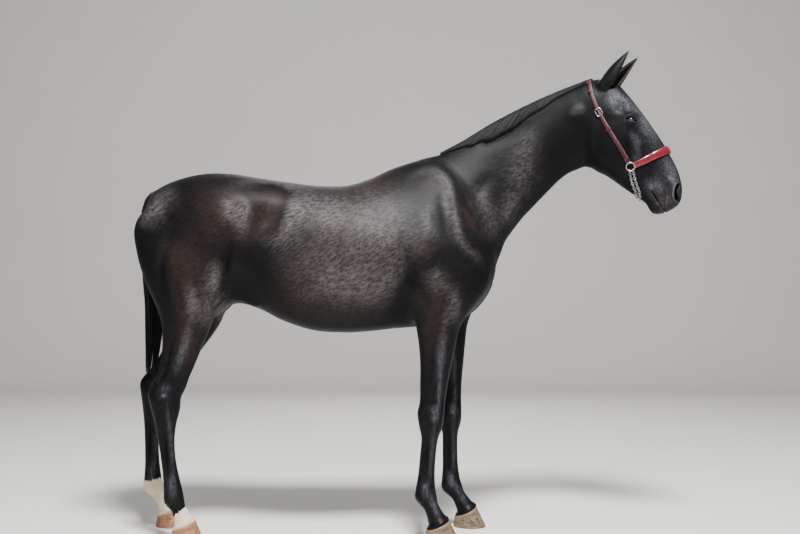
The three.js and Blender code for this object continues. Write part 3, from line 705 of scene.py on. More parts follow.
MUSCLES = [
    # shoulder: the blade's edge, its spine and the groove in front of it
    (10, 17, 10, 1500, 30, 1550, 109, 1587, 180, 1525, 219, 1381, 229, 1253, 284, 1170, 340, 1140),
    (7, 17, 292, 1487, 366, 1380, 400, 1262, 385, 1170),
    (-8, 17, 235, 1470, 267, 1414, 317, 1329, 363, 1248),
    (-4, 26, 150, 1490, 165, 1410, 176, 1300, 200, 1210),
    (11, 75, 100, 1190),
    (8, 60, 150, 1110),
    (-11, 17, -10, 1290, 8, 1190, 30, 1110, 75, 1010, 95, 960),
    (12, 42, 318, 1135),
    (7, 20, 345, 1120, 330, 1060, 290, 1000),
    (-9, 10, 428, 1200, 396, 1105, 345, 1010, 270, 925),
    (-6, 16, 200, 1080, 190, 1010, 170, 930),
    # ribs and barrel
    *[
        (2.2, 15, -70 - 52 * i, 1350 - 6 * i, -85 - 56 * i, 1180, -62 - 58 * i, 1010)
        for i in range(6)
    ],
    (4, 26, -40, 1200, -75, 1090, -130, 985, -250, 915),
    # loin, hip and flank
    (-15, 62, -560, 1345),
    (-8, 60, -610, 1290),
    (12, 36, -684, 1400),
    (5, 34, -690, 1400, -770, 1370, -860, 1340),
    (-15, 19, -715, 1290, -728, 1237, -748, 1140, -764, 1045, -790, 985),
    (-6, 34, -700, 1180, -640, 1130, -560, 1060),
    (-4, 14, -655, 1484, -600, 1486, -529, 1484),
    # rump, thigh and stifle
    (5, 90, -850, 1460),
    (11, 52, -795, 1085),
    (8, 30, -822, 975),
    (-5, 14, -800, 1030, -840, 1010, -870, 990),
    (-8, 19, -955, 1330, -985, 1230, -1012, 1135, -1002, 1012, -960, 930),
    (-5, 26, -870, 1340, -858, 1210, -890, 1080, -880, 990),
    (-5, 24, -1040, 1440, -1000, 1370, -960, 1310),
    # neck
    (7, 30, 561, 1747, 550, 1637, 506, 1423, 450, 1290, 410, 1200),
    (-5, 22, 668, 1660, 604, 1580, 556, 1440, 506, 1330),
    (-4, 18, 300, 1640, 469, 1722, 668, 1850),
    (-5, 26, 380, 1560, 330, 1480, 300, 1400),
    (8, 30, 755, 1806),
    (4, 16, 735, 1840, 770, 1790, 790, 1750),
    (-4, 24, 812, 1860, 790, 1780, 775, 1680, 800, 1615),
    # creases where the neck meets the breast
    (2.2, 3.5, 415, 1395, 440, 1376, 468, 1352, 490, 1334),
    (-2.0, 5, 405, 1370, 436, 1352, 470, 1325),
]
FACE = [
    # cheek, jaw and the crest under the eye
    (7, 62, 905, 1690),
    (5, 46, 872, 1640),
    (4, 13, 820, 1700, 822, 1640, 862, 1590, 930, 1560),
    (6.5, 8, 985, 1712, 1004, 1650, 1020, 1592),
    (-8, 15, 1010, 1720, 1036, 1660, 1060, 1590),
    (-7, 14, 955, 1700, 985, 1625, 1000, 1575),
    # brow, the hollow over the eye and the temple
    (6.5, 9, 950, 1792, 974, 1800, 1004, 1792, 1020, 1770),
    (-10, 22, 940, 1824),
    (4, 16, 905, 1860, 900, 1800, 905, 1760),
    (3.5, 9, 960, 1735, 985, 1727, 1010, 1730),
    # muzzle: the pads of the upper lip, the false nostril and the chin
    (5, 13, 1078, 1560, 1085, 1520, 1090, 1480, 1102, 1440),
    (5, 17, 1098, 1462),
    (-9, 12, 1118, 1540, 1124, 1485, 1126, 1440, 1130, 1400),
    (-8, 10, 1054, 1550, 1062, 1510, 1060, 1470),
    (-4, 13, 1095, 1590, 1130, 1540, 1160, 1500),
    (5, 17, 1084, 1400),
    (4, 14, 1040, 1470, 1052, 1440, 1066, 1416),
    (-3, 12, 1036, 1500, 1020, 1470, 1010, 1450),
]


def leg_point(leg: LegPose, bone: int, along: float, ahead: float) -> tuple[float, float]:
    """A place on a leg in the side view, counted along one of its bones and ahead of it.

    Args:
        leg: the leg.
        bone: which of its bones.
        along: the share of the bone.
        ahead: how far ahead of it.

    Returns:
        x and z.
    """
    start, end = leg.joints[bone], leg.joints[bone + 1]
    lean = math.atan2(end[0] - start[0], start[1] - end[1])
    x, z = (lerp(start[k], end[k], along) for k in (0, 1))
    return x + ahead * math.cos(lean), z + ahead * math.sin(lean)


# the legs' grooves, tendons and knobs: bone, first and last share of it, how far ahead of it at
# both, height and width
FORE_RELIEF = [
    (1, 0.02, 0.62, 30, 10, -6, 9),
    (1, 0.1, 0.75, -22, -20, -5, 8),
    (1, 0.05, 0.5, 4, 6, 4, 12),
    (1, 0.9, 1.0, 16, 20, 2.5, 16),
    (2, 0.0, 0.14, 4, 6, 2, 16),
    (1, 0.95, 1.03, -36, -42, 3, 14),
    (2, 0.2, 0.86, -10, -12, -4.5, 6),
    (2, 0.2, 0.86, 12, 12, 2, 9),
    (2, 0.24, 0.84, -27, -29, 3, 6),
    (2, 0.88, 1.0, 2, 4, 2, 18),
    (3, 0.0, 0.25, -30, -34, 2.5, 14),
    (3, 0.35, 0.75, -12, -8, -3, 8),
]
HIND_RELIEF = [
    (0, 0.45, 0.98, -20, -8, -5, 15),
    (1, 0.0, 0.6, 12, 22, 5, 17),
    (1, 0.2, 0.9, -28, -34, -8, 10),
    (1, 0.3, 0.92, -62, -52, 4, 8),
    (1, 0.84, 1.0, 30, 34, 5, 12),
    (2, 0.0, 0.1, -22, -22, 4, 12),
    (1, 0.9, 1.0, 2, 4, -4, 10),
    (2, 0.02, 0.26, 14, 8, 2, 16),
    (2, 0.26, 0.88, -14, -15, -5, 6),
    (2, 0.3, 0.86, 4, 8, 2, 8),
    (2, 0.3, 0.86, -34, -31, 3, 6),
    (2, 0.88, 1.0, 0, 2, 2, 18),
    (3, 0.0, 0.25, -28, -32, 2.5, 14),
    (3, 0.35, 0.75, -12, -8, -3, 8),
]


# where painted sheen lies on the legs, along their front edges and over the knees and fetlocks, in
# the same columns
FORE_PAINTED_SHEEN = [
    (1, 0.0, 0.55, 26, 16, 0.55, 14),
    (1, 0.45, 0.95, 26, 24, 0.5, 8),
    (1, 0.9, 1.04, 8, 14, 0.55, 13),
    (2, 0.1, 0.8, 14, 12, 0.35, 7),
    (2, 0.86, 1.04, -6, -2, 0.5, 13),
    (3, 0.05, 0.8, 10, 14, 0.6, 13),
]
HIND_PAINTED_SHEEN = [
    (0, 0.6, 1.0, 40, 40, 0.6, 26),
    (1, 0.1, 0.6, 34, 26, 0.6, 14),
    (1, 0.85, 1.0, 0, 4, 0.35, 18),
    (2, 0.1, 0.8, 16, 12, 0.4, 7),
    (2, 0.8, 1.03, 0, 4, 0.4, 16),
]


def leg_bands(
    fore: Sequence[tuple],
    hind: Sequence[tuple],
    shares: Sequence[float],
    strength: Triple = (1.0, 1.0, 1.0),
) -> list[Relief]:
    """Lays the bands of two tables on all four legs.

    Args:
        fore: the table of the fore legs.
        hind: the table of the hind legs.
        shares: the shares of a band's length at which its path has a place.
        strength: what ridges, grooves and widths are multiplied by.

    Returns:
        The bands, each on its own leg's side.
    """
    ridges, grooves, widths = strength
    made = []
    for leg in LEGS:
        for bone, start, end, ahead, after, height, width in hind if leg.is_hind else fore:
            steps = [(lerp(start, end, t), lerp(ahead, after, t)) for t in shares]
            path = [leg_point(leg, bone, *step) for step in steps]
            height = height * (ridges if height > 0 else grooves)
            made.append(Relief(path, height, widths * width, leg.side))
    return made


def capsule(points: Points, path: Table, radius: float) -> Values:
    """Distance from a round bar along a path."""
    return off_path(points, np.array(path, float))[0] - radius


@dataclass(frozen=True)
class EyeSocket:
    """An eye and its lids. Both sides are worked out on the left one."""

    centre: Triple = (982.0, 82.0, 1758.0)
    ball: float = 20.0
    lid: float = 23.6
    corner_out: tuple[float, float] = (962.0, 1762.0)  # the two corners in the side view
    corner_in: tuple[float, float] = (1008.0, 1748.0)
    upper: float = 11.0  # how far the lids stand open, above and below the line of the corners
    lower: float = 9.0

    @property
    def axes(self) -> Points:
        """Unit vectors along the lids towards the nose, up across them, and out of the eye.

        Returns:
            One vector in each row.
        """
        run = np.subtract(self.corner_in, self.corner_out)
        along = unit(np.array([run[0], 0.0, run[1]]))
        out = np.array([0.26, 0.96, 0.1])
        out = unit(out - along * (out @ along))
        return np.stack([along, np.cross(out, along) * -1, out])

    def local(self, points: Points) -> Points:
        """Points in the eye's own directions, with both sides folded onto the left one."""
        folded = on_left(points)
        return (folded - self.centre) @ self.axes.T

    def slit(self, local: Points) -> Values:
        """Distance from the almond-shaped opening between the lids, seen square on.

        Args:
            local: the places in the eye's own directions.

        Returns:
            The distances, negative in the opening.
        """
        half = float(np.linalg.norm(np.subtract(self.corner_in, self.corner_out))) / 2
        away = None
        for height, sign in ((self.upper, 1), (self.lower, -1)):
            radius = (half**2 + height**2) / (2 * height)
            arc = np.hypot(local[:, 0], local[:, 1] - sign * (height - radius)) - radius
            away = arc if away is None else np.maximum(away, arc)
        return away

    def shape(self, points: Points, flesh: Values) -> Values:
        """Adds the lids to the flesh and opens them over the eyeball.

        Args:
            points: the places, one row each.
            flesh: the distances found so far.

        Returns:
            The distances with the lids.
        """
        near = np.flatnonzero(np.abs(points[:, 0] - self.centre[0]) < 70)
        near = near[np.abs(points[near, 2] - self.centre[2]) < 70]
        if not len(near):
            return flesh
        local = self.local(points[near])
        made = smooth_min(flesh[near], np.linalg.norm(local, axis=1) - self.lid, 9)
        opening = smooth_max(self.slit(local), 3.0 - local[:, 2], 2)
        flesh = flesh.copy()
        flesh[near] = smooth_max(made, -opening, 2.6)
        return flesh

    def folds(self, points: Points) -> Values:
        """The rolled edges of the lids and the creases above and below them.

        Args:
            points: the places, one row each.

        Returns:
            How far they lift the skin.
        """
        local = self.local(points)
        off = self.slit(local)
        upper = local[:, 1] > 0
        fade = ease(38, 22, np.hypot(local[:, 0], local[:, 1])) * (local[:, 2] > 0)
        lift = 1.3 * np.exp(-(((off - 2.5) / 2.2) ** 2))
        for at, depth, where in ((7.5, -2.6, upper), (14.5, -2.0, upper), (8.0, -2.0, ~upper)):
            lift = lift + where * depth * np.exp(-(((off - at) / 2.0) ** 2))
            lift = lift - where * 0.6 * depth * np.exp(-(((off - at - 3.4) / 2.2) ** 2))
        return lift * fade


class Muzzle:
    """The nostrils and the mouth. Both sides are worked out on the left one."""

    SLIT = [(1173, 1480), (1168, 1466), (1165, 1450), (1166, 1433), (1169, 1416)]
    RIM = [(1174, 1495), (1163, 1489), (1154, 1474), (1150, 1453), (1151, 1432), (1156, 1415),
           (1162, 1406)]
    INWARDS = (-18, -30, 24)  # which way the air goes
    MOUTH = [(1066, 1462), (1074, 1446), (1084, 1426), (1096, 1404), (1110, 1386), (1124, 1366),
             (1132, 1350)]
    SLIT_RADIUS, RIM_RADIUS = 7.6, 5.0
    MOUTH_GAP, MOUTH_DEPTH = 1.8, 13.0

    def __init__(self, flesh: Callable[[Points], Values]) -> None:
        """Finds where the nostrils lie on the flesh, given its distance."""
        self.slit = self.on_side(flesh, self.SLIT, 0.0)
        self.rim = self.on_side(flesh, self.RIM, 3.0)

    @staticmethod
    def on_side(flesh: Callable[[Points], Values], path: list, sunk: float) -> Points:
        """Places on the left side of the flesh for places in the side view.

        Args:
            flesh: gives the distance from the flesh.
            path: the places as x, z.
            sunk: how deep under the surface they lie.

        Returns:
            The places.
        """
        across = np.linspace(0, 80, 161)
        made = []
        for x, z in path:
            column = np.stack([np.full(161, x), across, np.full(161, z)], axis=1)
            inside = flesh(column) < -sunk
            made.append([x, across[inside].max() if inside.any() else 8.0, z])
        return np.array(made)

    def shape(self, points: Points, flesh: Values) -> Values:
        """Adds the nostrils' rims and cuts the nostrils and the mouth.

        Args:
            points: the places, one row each.
            flesh: the distances found so far.

        Returns:
            The distances with nostrils and mouth.
        """
        near = np.flatnonzero((points[:, 0] > 1010) & (points[:, 2] < 1560) & (points[:, 2] > 1300))
        if not len(near):
            return flesh
        folded = on_left(points[near])
        made = smooth_min(flesh[near], capsule(folded, self.rim, self.RIM_RADIUS), 7)
        hole = np.full(len(near), 1e3)
        for spot in spline(self.slit, np.linspace(0, 1, 11)):
            start = np.subtract(spot, np.multiply(self.INWARDS, 0.5))
            end = np.add(spot, self.INWARDS)
            hole = smooth_min(hole, capsule(folded, [start, end], self.SLIT_RADIUS), 5)
        made = smooth_max(made, -hole, 4)
        path = spline(self.MOUTH, np.linspace(0, 1, 16))
        slot = off_path(folded[:, [0, 2]], path)[0] - self.MOUTH_GAP
        slot = np.maximum(slot, -(flesh[near] + self.MOUTH_DEPTH))
        flesh = flesh.copy()
        flesh[near] = smooth_max(made, -slot, 6)
        return flesh


@dataclass(frozen=True)
class Ear:
    """One pricked ear: a leaf rolled into a funnel that opens forwards and to one side."""

    side: Side
    base: Triple
    tip: Triple
    width: float = 78.0
    wall: float = 7.5
    fullness: float = 1.8  # how far up the sides stay wide
    cup: float = 0.62  # depth of the funnel as a share of its half width
    bow: float = 7.0

    @property
    def axes(self) -> Points:
        """Unit vectors across the ear, out of its opening and up it.

        Returns:
            One vector in each row.
        """
        up = unit(np.subtract(self.tip, self.base))
        out = np.array([0.8, -0.6 * self.side.value, 0.0])
        out = unit(out - up * (out @ up))
        return np.stack([np.cross(up, out), out, up])

    @property
    def length(self) -> float:
        """From the base to the tip."""
        return float(np.linalg.norm(np.subtract(self.tip, self.base)))

    def half_width(self, along: Values) -> Values:
        """Half the ear's width, a share of the way up it.

        Args:
            along: the share of the way up.

        Returns:
            Half the width there.
        """
        along = np.clip(along, 0, 1)
        point = np.maximum(1 - along**self.fullness, 1e-3)
        return self.width / 2 * ease(-0.35, 0.22, along) * point

    def back(self, along: Values) -> Values:
        """Where the middle of the ear's back lies along the way out of its opening."""
        bow = self.bow * np.sin(np.pi * np.clip(along, 0, 1))
        return -0.5 * self.cup * self.half_width(along) - bow

    def place(self, along: float, turn: float, out: float = 0.0) -> Points:
        """A point on the leaf's middle surface.

        Args:
            along: the share of the way up.
            turn: from -1 at one edge over 0 at the back to 1 at the other edge.
            out: how far inside the funnel it lies.

        Returns:
            The place.
        """
        half = float(self.half_width(np.array(along)))
        deep = self.cup * half
        radius = (half**2 + deep**2) / (2 * deep)
        angle = turn * math.acos(1 - deep / radius)
        spot = [
            (radius - out) * math.sin(angle),
            float(self.back(np.array(along))) + radius - (radius - out) * math.cos(angle),
            along * self.length,
        ]
        return np.array(self.base) + np.array(spot) @ self.axes

    def shape(self, points: Points, flesh: Values) -> Values:
        """Grows the ear from the flesh.

        Args:
            points: the places, one row each.
            flesh: the distances found so far.

        Returns:
            The distances with the ear.
        """
        local = (points - np.array(self.base)) @ self.axes.T
        near = np.flatnonzero((np.abs(local[:, :2]) < 75).all(1) & (np.abs(local[:, 2] - 75) < 140))
        if not len(near):
            return flesh
        across, out, up = local[near].T
        along = up / self.length
        half = self.half_width(along)
        deep = self.cup * half
        radius = (half**2 + deep**2) / (2 * deep)
        out = out - self.back(along)
        angle = np.abs(np.arctan2(across, radius - out))
        on_arc = np.abs(np.hypot(across, out - radius) - radius)
        past_edge = np.hypot(np.abs(across) - half, out - deep)
        away = np.where(angle < np.arccos(1 - deep / radius), on_arc, past_edge)
        past_tip = np.maximum(0, up - self.length)
        below = np.maximum(0, -up - 12)
        wall = lerp(self.wall, 0.62 * self.wall, np.clip(along, 0, 1)) / 2
        leaf = np.hypot(np.hypot(away, past_tip), below) - wall
        base = np.array(self.base)
        root = capsule(points[near], [self.base, base + 18 * self.axes[2]], 21)
        funnel = capsule(
            points[near],
            [base + [0, 0, 6], base + 60 * self.axes[2] + 8 * self.axes[1]],
            13,
        )
        grown = smooth_min(flesh[near], np.maximum(root, -funnel), 22)
        flesh = flesh.copy()
        flesh[near] = smooth_min(grown, leaf, 9)
        return flesh


EYE = EyeSocket()
EARS = [
    Ear(Side.RIGHT, (868, -46, 1925), (974, -58, 2061), 84.0),
    Ear(Side.LEFT, (884, 46, 1925), (1010, 56, 2059), 66.0),
]


class Flesh:
    """The horse's whole body as one form, still looking straight ahead."""

    MELT = 46.0  # how widely neighbouring lofts melt together
    COAT = 3.5  # the coat's depth, by which the skin lies under it
    # where the mesh is finer: the legs, the head, the muzzle and round the eyes
    LEGS_BELOW, HEAD_FROM, MUZZLE_FROM, MUZZLE_BELOW, ROUND_EYE = 670, 815, 1040, 1540, 56
    # how much the ridges and the grooves are made of, and how far a ridge may stand out
    RIDGES, GROOVES, HIGHEST = 1.4, 1.15, 5.5
    FLANK_FOLD = [(-800, 150, 985), (-745, 152, 1022), (-690, 138, 1012), (-630, 120, 990)]

    def __init__(self) -> None:
        """Stretches the lofts over their sections."""
        self.trunk = Loft(TRUNK.values(), 6, (30, 30))
        self.neck = Loft(NECK.values(), 6)
        self.head = Loft(HEAD.values(), 6, (0, 14))
        self.legs = [Loft(leg.sections(), 5) for leg in LEGS]
        self.lofts = [self.trunk, self.neck, self.head, *self.legs]
        self.muzzle = Muzzle(self.bare)
        on_legs = leg_bands(FORE_RELIEF, HIND_RELIEF, (0, 0.5, 1), (1.3, 1.7, 1.1))
        self.relief = [*bands(MUSCLES + FACE), *on_legs]

    def bare(self, points: Points) -> Values:
        """Distance from the melted lofts, without any detail.

        Args:
            points: the places, one row each.

        Returns:
            The distances, negative inside.
        """
        away = np.full(len(points), 3000.0)
        for loft in self.lofts:
            away = smooth_min(away, loft.distance(points), self.MELT)
        return away

    def distance(self, points: Points) -> Values:
        """Distance from the skin.

        Args:
            points: the places, one row each.

        Returns:
            The distances, negative inside.
        """
        away = self.bare(points) + self.COAT
        folded = on_left(points)
        fold = np.flatnonzero((points[:, 0] > -900) & (points[:, 0] < -540) & (points[:, 2] < 1150))
        if len(fold):
            away[fold] = smooth_min(away[fold], capsule(folded[fold], self.FLANK_FOLD, 11), 30)
        for leg, loft in zip(LEGS, self.legs):
            sole = points[:, 2] < 260
            under = np.flatnonzero(sole & (loft.distance(points) < 60))
            if len(under):
                spots = points[under]
                swollen = smooth_min(away[under], capsule(spots, self._coronet_ring(leg), 5.5), 22)
                away[under] = np.maximum(swollen, self._coronet(leg, spots))
        head = np.flatnonzero(points[:, 0] > 780)
        if len(head):
            spots, found = points[head], away[head]
            for part in (EYE, self.muzzle, *EARS):
                found = part.shape(spots, found)
            away[head] = found
        return away

    @staticmethod
    def _coronet_ring(leg: LegPose) -> Points:
        """The swelling all round the top of a hoof, under the hair that hangs over it.

        Args:
            leg: the leg.

        Returns:
            Places along the middle of the swelling.
        """
        x, _, y = leg.joints[4]
        hoof, (length, width) = leg.hoof, leg.hoof.coronet
        turn = np.linspace(0, 2 * math.pi, 25)
        ahead = (1 + np.cos(turn)) / 2
        narrow = lerp(HEEL_WIDTH, 1.0, np.minimum(1, 1.6 * ahead))
        across = leg.side.value * y + (width / 2 - 8) * narrow * np.sin(turn)
        forward = x + (length / 2 - 8) * np.cos(turn)
        return np.stack([forward, across, lerp(hoof.heel, hoof.toe, ahead) + 2], axis=1)

    @staticmethod
    def _coronet(leg: LegPose, points: Points) -> Values:
        """Distance below the sloping plane where a leg's skin ends inside its hoof.

        Args:
            leg: the leg.
            points: the places, one row each.

        Returns:
            The distances, positive below the plane.
        """
        x, pitch, sunk = leg.joints[4][0], leg.hoof.pitch, 50.0
        return -((points[:, 2] - sunk) * math.cos(pitch) - (points[:, 0] - x) * math.sin(pitch))

    def normals(self, points: Points, step: float = 1.0) -> Points:
        """Which way the skin faces.

        Args:
            points: the places, one row each.
            step: how far apart the distance is measured.

        Returns:
            A vector of length one at each.
        """
        slopes = []
        for axis in np.eye(3) * step:
            slopes.append(self.distance(points + axis) - self.distance(points - axis))
        return unit(np.stack(slopes, axis=1))

    def settle(self, points: Points, turns: int = 3) -> tuple[Points, Points]:
        """Moves points onto the skin and gives the way it faces at each.

        Args:
            points: the places, one row each.
            turns: how often they are moved.

        Returns:
            The moved points, and the way the skin faces at each.
        """
        normals = self.normals(points)
        for _ in range(turns):
            points = points - np.clip(self.distance(points), -6, 6)[:, None] * normals
        return points, self.normals(points)

    def detail(self, points: Points) -> Values:
        """How fine the mesh has to be at each point: 1 is plain, 3 the finest.

        Args:
            points: the places, one row each.

        Returns:
            The level at each.
        """
        x, y, z = points.T
        level = np.ones(len(points))
        level[(z < self.LEGS_BELOW) | (x > self.HEAD_FROM)] = 2
        level[(x > self.MUZZLE_FROM) & (z < self.MUZZLE_BELOW)] = 3
        level[np.linalg.norm(EYE.local(points), axis=1) < self.ROUND_EYE] = 3
        for ear in EARS:
            up = (points - np.array(ear.base)) @ ear.axes.T
            level[(np.abs(up[:, :2]) < 50).all(1) & (up[:, 2] > -22) & (up[:, 2] < 200)] = 3
        return level

    def lift(self, points: Points, normals: Points) -> Values:
        """How far all the ridges and grooves lift the skin.

        Args:
            points: the places, one row each.
            normals: which way the skin faces at each.

        Returns:
            The lift at each, negative in a groove.
        """
        lift = sum(self.RIDGES * relief.at(points, normals) for relief in self.relief)
        ridge = self.HIGHEST * np.tanh(lift / self.HIGHEST)
        return np.where(lift > 0, ridge, self.GROOVES * lift) + EYE.folds(points)


# ---- finishes

Colour = tuple[float, float, float]


class Slot(Enum):
    """The record's material slots."""

    COAT = "coat"
    SOCK = "sock"
    HAIR = "hair"
    HORN = "horn"
    EYE = "eye"
    LEATHER = "leather"
    PATENT = "patent"
    METAL = "metal"


def sign(operation: str, swapped: bool = False) -> Callable[["Shade", Any], "Shade"]:
    """Makes what an arithmetic sign does with a Shade: it adds a Math node.

    Args:
        operation: the Math node's operation.
        swapped: whether the Shade stands on the right of the sign.

    Returns:
        The method.
    """

    def method(self: "Shade", other: "Shade | float") -> "Shade":
        """Works out the sign's sum.

        Args:
            other: what stands on its other side.

        Returns:
            The sum.
        """
        first, second = (other, self) if swapped else (self, other)
        values = {0: first, 1: second}
        return self.finish.node("ShaderNodeMath", {"operation": operation}, values)

    return method


@dataclass(frozen=True)
class Shade:
    """A number, colour or direction inside a material, which sums can be done with."""

    finish: "Finish"
    socket: bpy.types.NodeSocket

    __add__, __radd__ = sign("ADD"), sign("ADD", True)
    __sub__, __rsub__ = sign("SUBTRACT"), sign("SUBTRACT", True)
    __mul__, __rmul__ = sign("MULTIPLY"), sign("MULTIPLY", True)
    __truediv__, __rtruediv__ = sign("DIVIDE"), sign("DIVIDE", True)
    __pow__, __rpow__ = sign("POWER"), sign("POWER", True)

    def step(self, low: float, high: float, start: float = 0.0, end: float = 1.0) -> "Shade":
        """A smooth step, from start where it is at low to end where it is at high.

        Args:
            low: where it starts.
            high: where it ends.
            start: the value up to low.
            end: the value from high on.

        Returns:
            The step.
        """
        settings = {"interpolation_type": "SMOOTHSTEP"}
        values = {0: self, 1: low, 2: high, 3: start, 4: end}
        return self.finish.node("ShaderNodeMapRange", settings, values)


@dataclass(frozen=True)
class Finish:
    """What every finish shares: its name, its slot and the making of its nodes."""

    name: str
    slot: Slot

    def node(
        self,
        kind: str,
        settings: dict[str, Any],
        values: dict[int | str, Any],
        output: int | str = 0,
    ) -> Shade:
        """Adds a node to the material that is being made.

        Args:
            kind: the node's type.
            settings: its options, which are set before its sockets.
            values: what each input socket gets: a Shade to link, or a plain value.
            output: which of its outputs is wanted.

        Returns:
            That output.
        """
        tree = bpy.data.materials[self.name].node_tree
        made = tree.nodes.new(kind)
        for key, value in settings.items():
            setattr(made, key, value)
        for key, value in values.items():
            if isinstance(value, Shade):
                tree.links.new(value.socket, made.inputs[key])
            else:
                made.inputs[key].default_value = value
        return Shade(self, made.outputs[output])

    def blend(self, share: Shade | float, first: Shade | Colour, second: Shade | Colour) -> Shade:
        """The first colour turning into the second as the share goes from 0 to 1.

        Args:
            share: how far it has turned.
            first: the colour at 0.
            second: the colour at 1.

        Returns:
            The mixed colour.
        """
        colours = [c if isinstance(c, Shade) else (*c, 1.0) for c in (first, second)]
        values = {0: share, 6: colours[0], 7: colours[1]}
        return self.node("ShaderNodeMix", {"data_type": "RGBA"}, values, 2)

    def place(self) -> Shade:
        """Where the shaded point is on the piece."""
        return self.node("ShaderNodeTexCoord", {}, {}, "Object")

    def mark(self, name: str, output: int | str = "Fac") -> Shade:
        """A value kept on the piece's mesh."""
        return self.node("ShaderNodeAttribute", {"attribute_name": name}, {}, output)

    def noise(self, at: Shade, scale: float, detail: float = 2.0, rough: float = 0.5) -> Shade:
        """Soft random clouds, from 0 to 1."""
        values = {"Vector": at, "Scale": scale, "Detail": detail, "Roughness": rough}
        return self.node("ShaderNodeTexNoise", {}, values)

    def drawn(self, direction: Triple, stretch: float) -> Shade:
        """The place on the piece, drawn out along a direction.

        Args:
            direction: which way it is drawn out.
            stretch: how many times longer it gets.

        Returns:
            The place, for a pattern to read.
        """
        turn = Vector(direction).to_track_quat("X", "Z").to_euler()
        values = {"Vector": self.place(), "Rotation": tuple(turn), "Scale": (stretch, 1.0, 1.0)}
        return self.node("ShaderNodeMapping", {"vector_type": "TEXTURE"}, values)

    def bump(self, height: Shade, strength: float, depth: float) -> Shade:
        """A bumpy normal. depth is in metres."""
        values = {"Strength": strength, "Distance": depth, "Height": height}
        return self.node("ShaderNodeBump", {}, values)

    def sockets(self) -> dict[int | str, Any]:
        """What the shader's sockets get. Every finish gives its own."""
        raise NotImplementedError

    def material(self) -> bpy.types.Material:
        """The finish as a material, made when it is first asked for.

        Returns:
            The material.
        """
        ready = bpy.data.materials.get(self.name)
        if ready:
            return ready
        made = bpy.data.materials.new(self.name)
        made.use_nodes = True
        shader = made.node_tree.nodes["Principled BSDF"]
        for key, value in self.sockets().items():
            if isinstance(value, Shade):
                made.node_tree.links.new(value.socket, shader.inputs[key])
            else:
                shader.inputs[key].default_value = value
        return made


@dataclass(frozen=True)
class CoatFinish(Finish):
    """Short glossy black hair with brown and white places, painted sheen and painted shade, which
    lies in streaks.
    """

    black: Colour = (0.0018, 0.0017, 0.0023)
    dusk: Colour = (0.0085, 0.0074, 0.0084)
    brown: Colour = (0.023, 0.0138, 0.0112)
    # painted sheen: a pale colour where the light catches the glossy coat, and a bluish one on the
    # face and legs as a painted reflection
    silver: Colour = (0.125, 0.112, 0.110)
    painted_cool_sheen: Colour = (0.115, 0.120, 0.138)
    white: Colour = (0.66, 0.54, 0.40)
    flesh: Colour = (0.040, 0.035, 0.037)
    gloss: float = 0.40

    def sockets(self) -> dict[int | str, Any]:
        """Streaks drawn out the way the hair lies, over the marks kept on the mesh.

        Returns:
            What the shader's sockets get.
        """
        clumps, hairs = self.streaks(110.0, 3.0, 3.0), self.streaks(420.0, 7.0, 2.0)
        cloud = self.noise(self.place(), 11.0, 4.0, 0.6)
        silver, brown = self.mark("silver"), self.mark("brown")
        bare, white, deep = self.mark("bare"), self.mark("white"), self.mark("deep")
        fine = hairs.step(0.40, 0.60)
        streak = fine * 0.6 + clumps.step(0.4, 0.6) * 0.4
        colour = self.blend(streak * (0.3 + cloud * 0.7), self.black, self.dusk)
        ragged = 0.6 + (clumps * 0.45 + cloud * 0.55).step(0.3, 0.7) * 0.5
        colour = self.blend(brown * ragged * (0.5 + streak * 0.5), colour, self.brown)
        grain = self.noise(self.place(), 190.0, 3.0, 0.7).step(0.44, 0.58)
        lit = streak + (grain - streak) * self.mark("on_face")
        # painted sheen, broken by the streaks of the hair: pale on the body, bluish on the face and
        # legs
        pale = self.blend(self.mark("on_face") + self.mark("on_leg"), self.silver, self.painted_cool_sheen)
        colour = self.blend(silver * ragged * (0.2 + lit * 0.8), colour, pale)
        # painted shade: the deep mark paints hollows, creases, the mane's shadow and the undersides
        # black
        colour = self.blend(deep * 0.9, colour, self.black)
        mottle = self.noise(self.place(), 130.0, 3.0, 0.6).step(0.35, 0.75)
        colour = self.blend(bare * (0.15 + mottle * 0.85), colour, self.flesh)
        edge = self.noise(self.drawn((0, 0, 1), 5.0), 130.0, 3.0) - 0.5
        snow = (white + edge * 0.9).step(0.42, 0.58)
        grown = self.blend(streak, (0.54, 0.45, 0.35), self.white)
        colour = self.blend(snow, colour, grown)
        rough = self.gloss + hairs * 0.16 + bare * 0.08 + white * 0.2 - self.mark("on_leg") * 0.08
        return {
            "Base Color": colour,
            "Roughness": rough,
            "IOR": 1.19,
            "Normal": self.bump(clumps * 0.5 + hairs * 0.5, 0.5, 0.0015),
        }

    def streaks(self, scale: float, stretch: float, detail: float) -> Shade:
        """Clouds drawn out along the hair of the body, the legs and the face.

        Args:
            scale: how fine they are.
            stretch: how many times longer than wide.
            detail: how ragged.

        Returns:
            The clouds, from 0 to 1.
        """
        body = self.noise(self.drawn((-0.9, 0, -0.42), stretch), scale, detail)
        legs = self.noise(self.drawn((0, 0, 1), stretch), scale, detail)
        face = self.noise(self.drawn((0.45, 0, -0.9), stretch), scale, detail)
        on_leg, on_face = self.mark("on_leg"), self.mark("on_face")
        return body * (1 - on_leg - on_face) + legs * on_leg + face * on_face


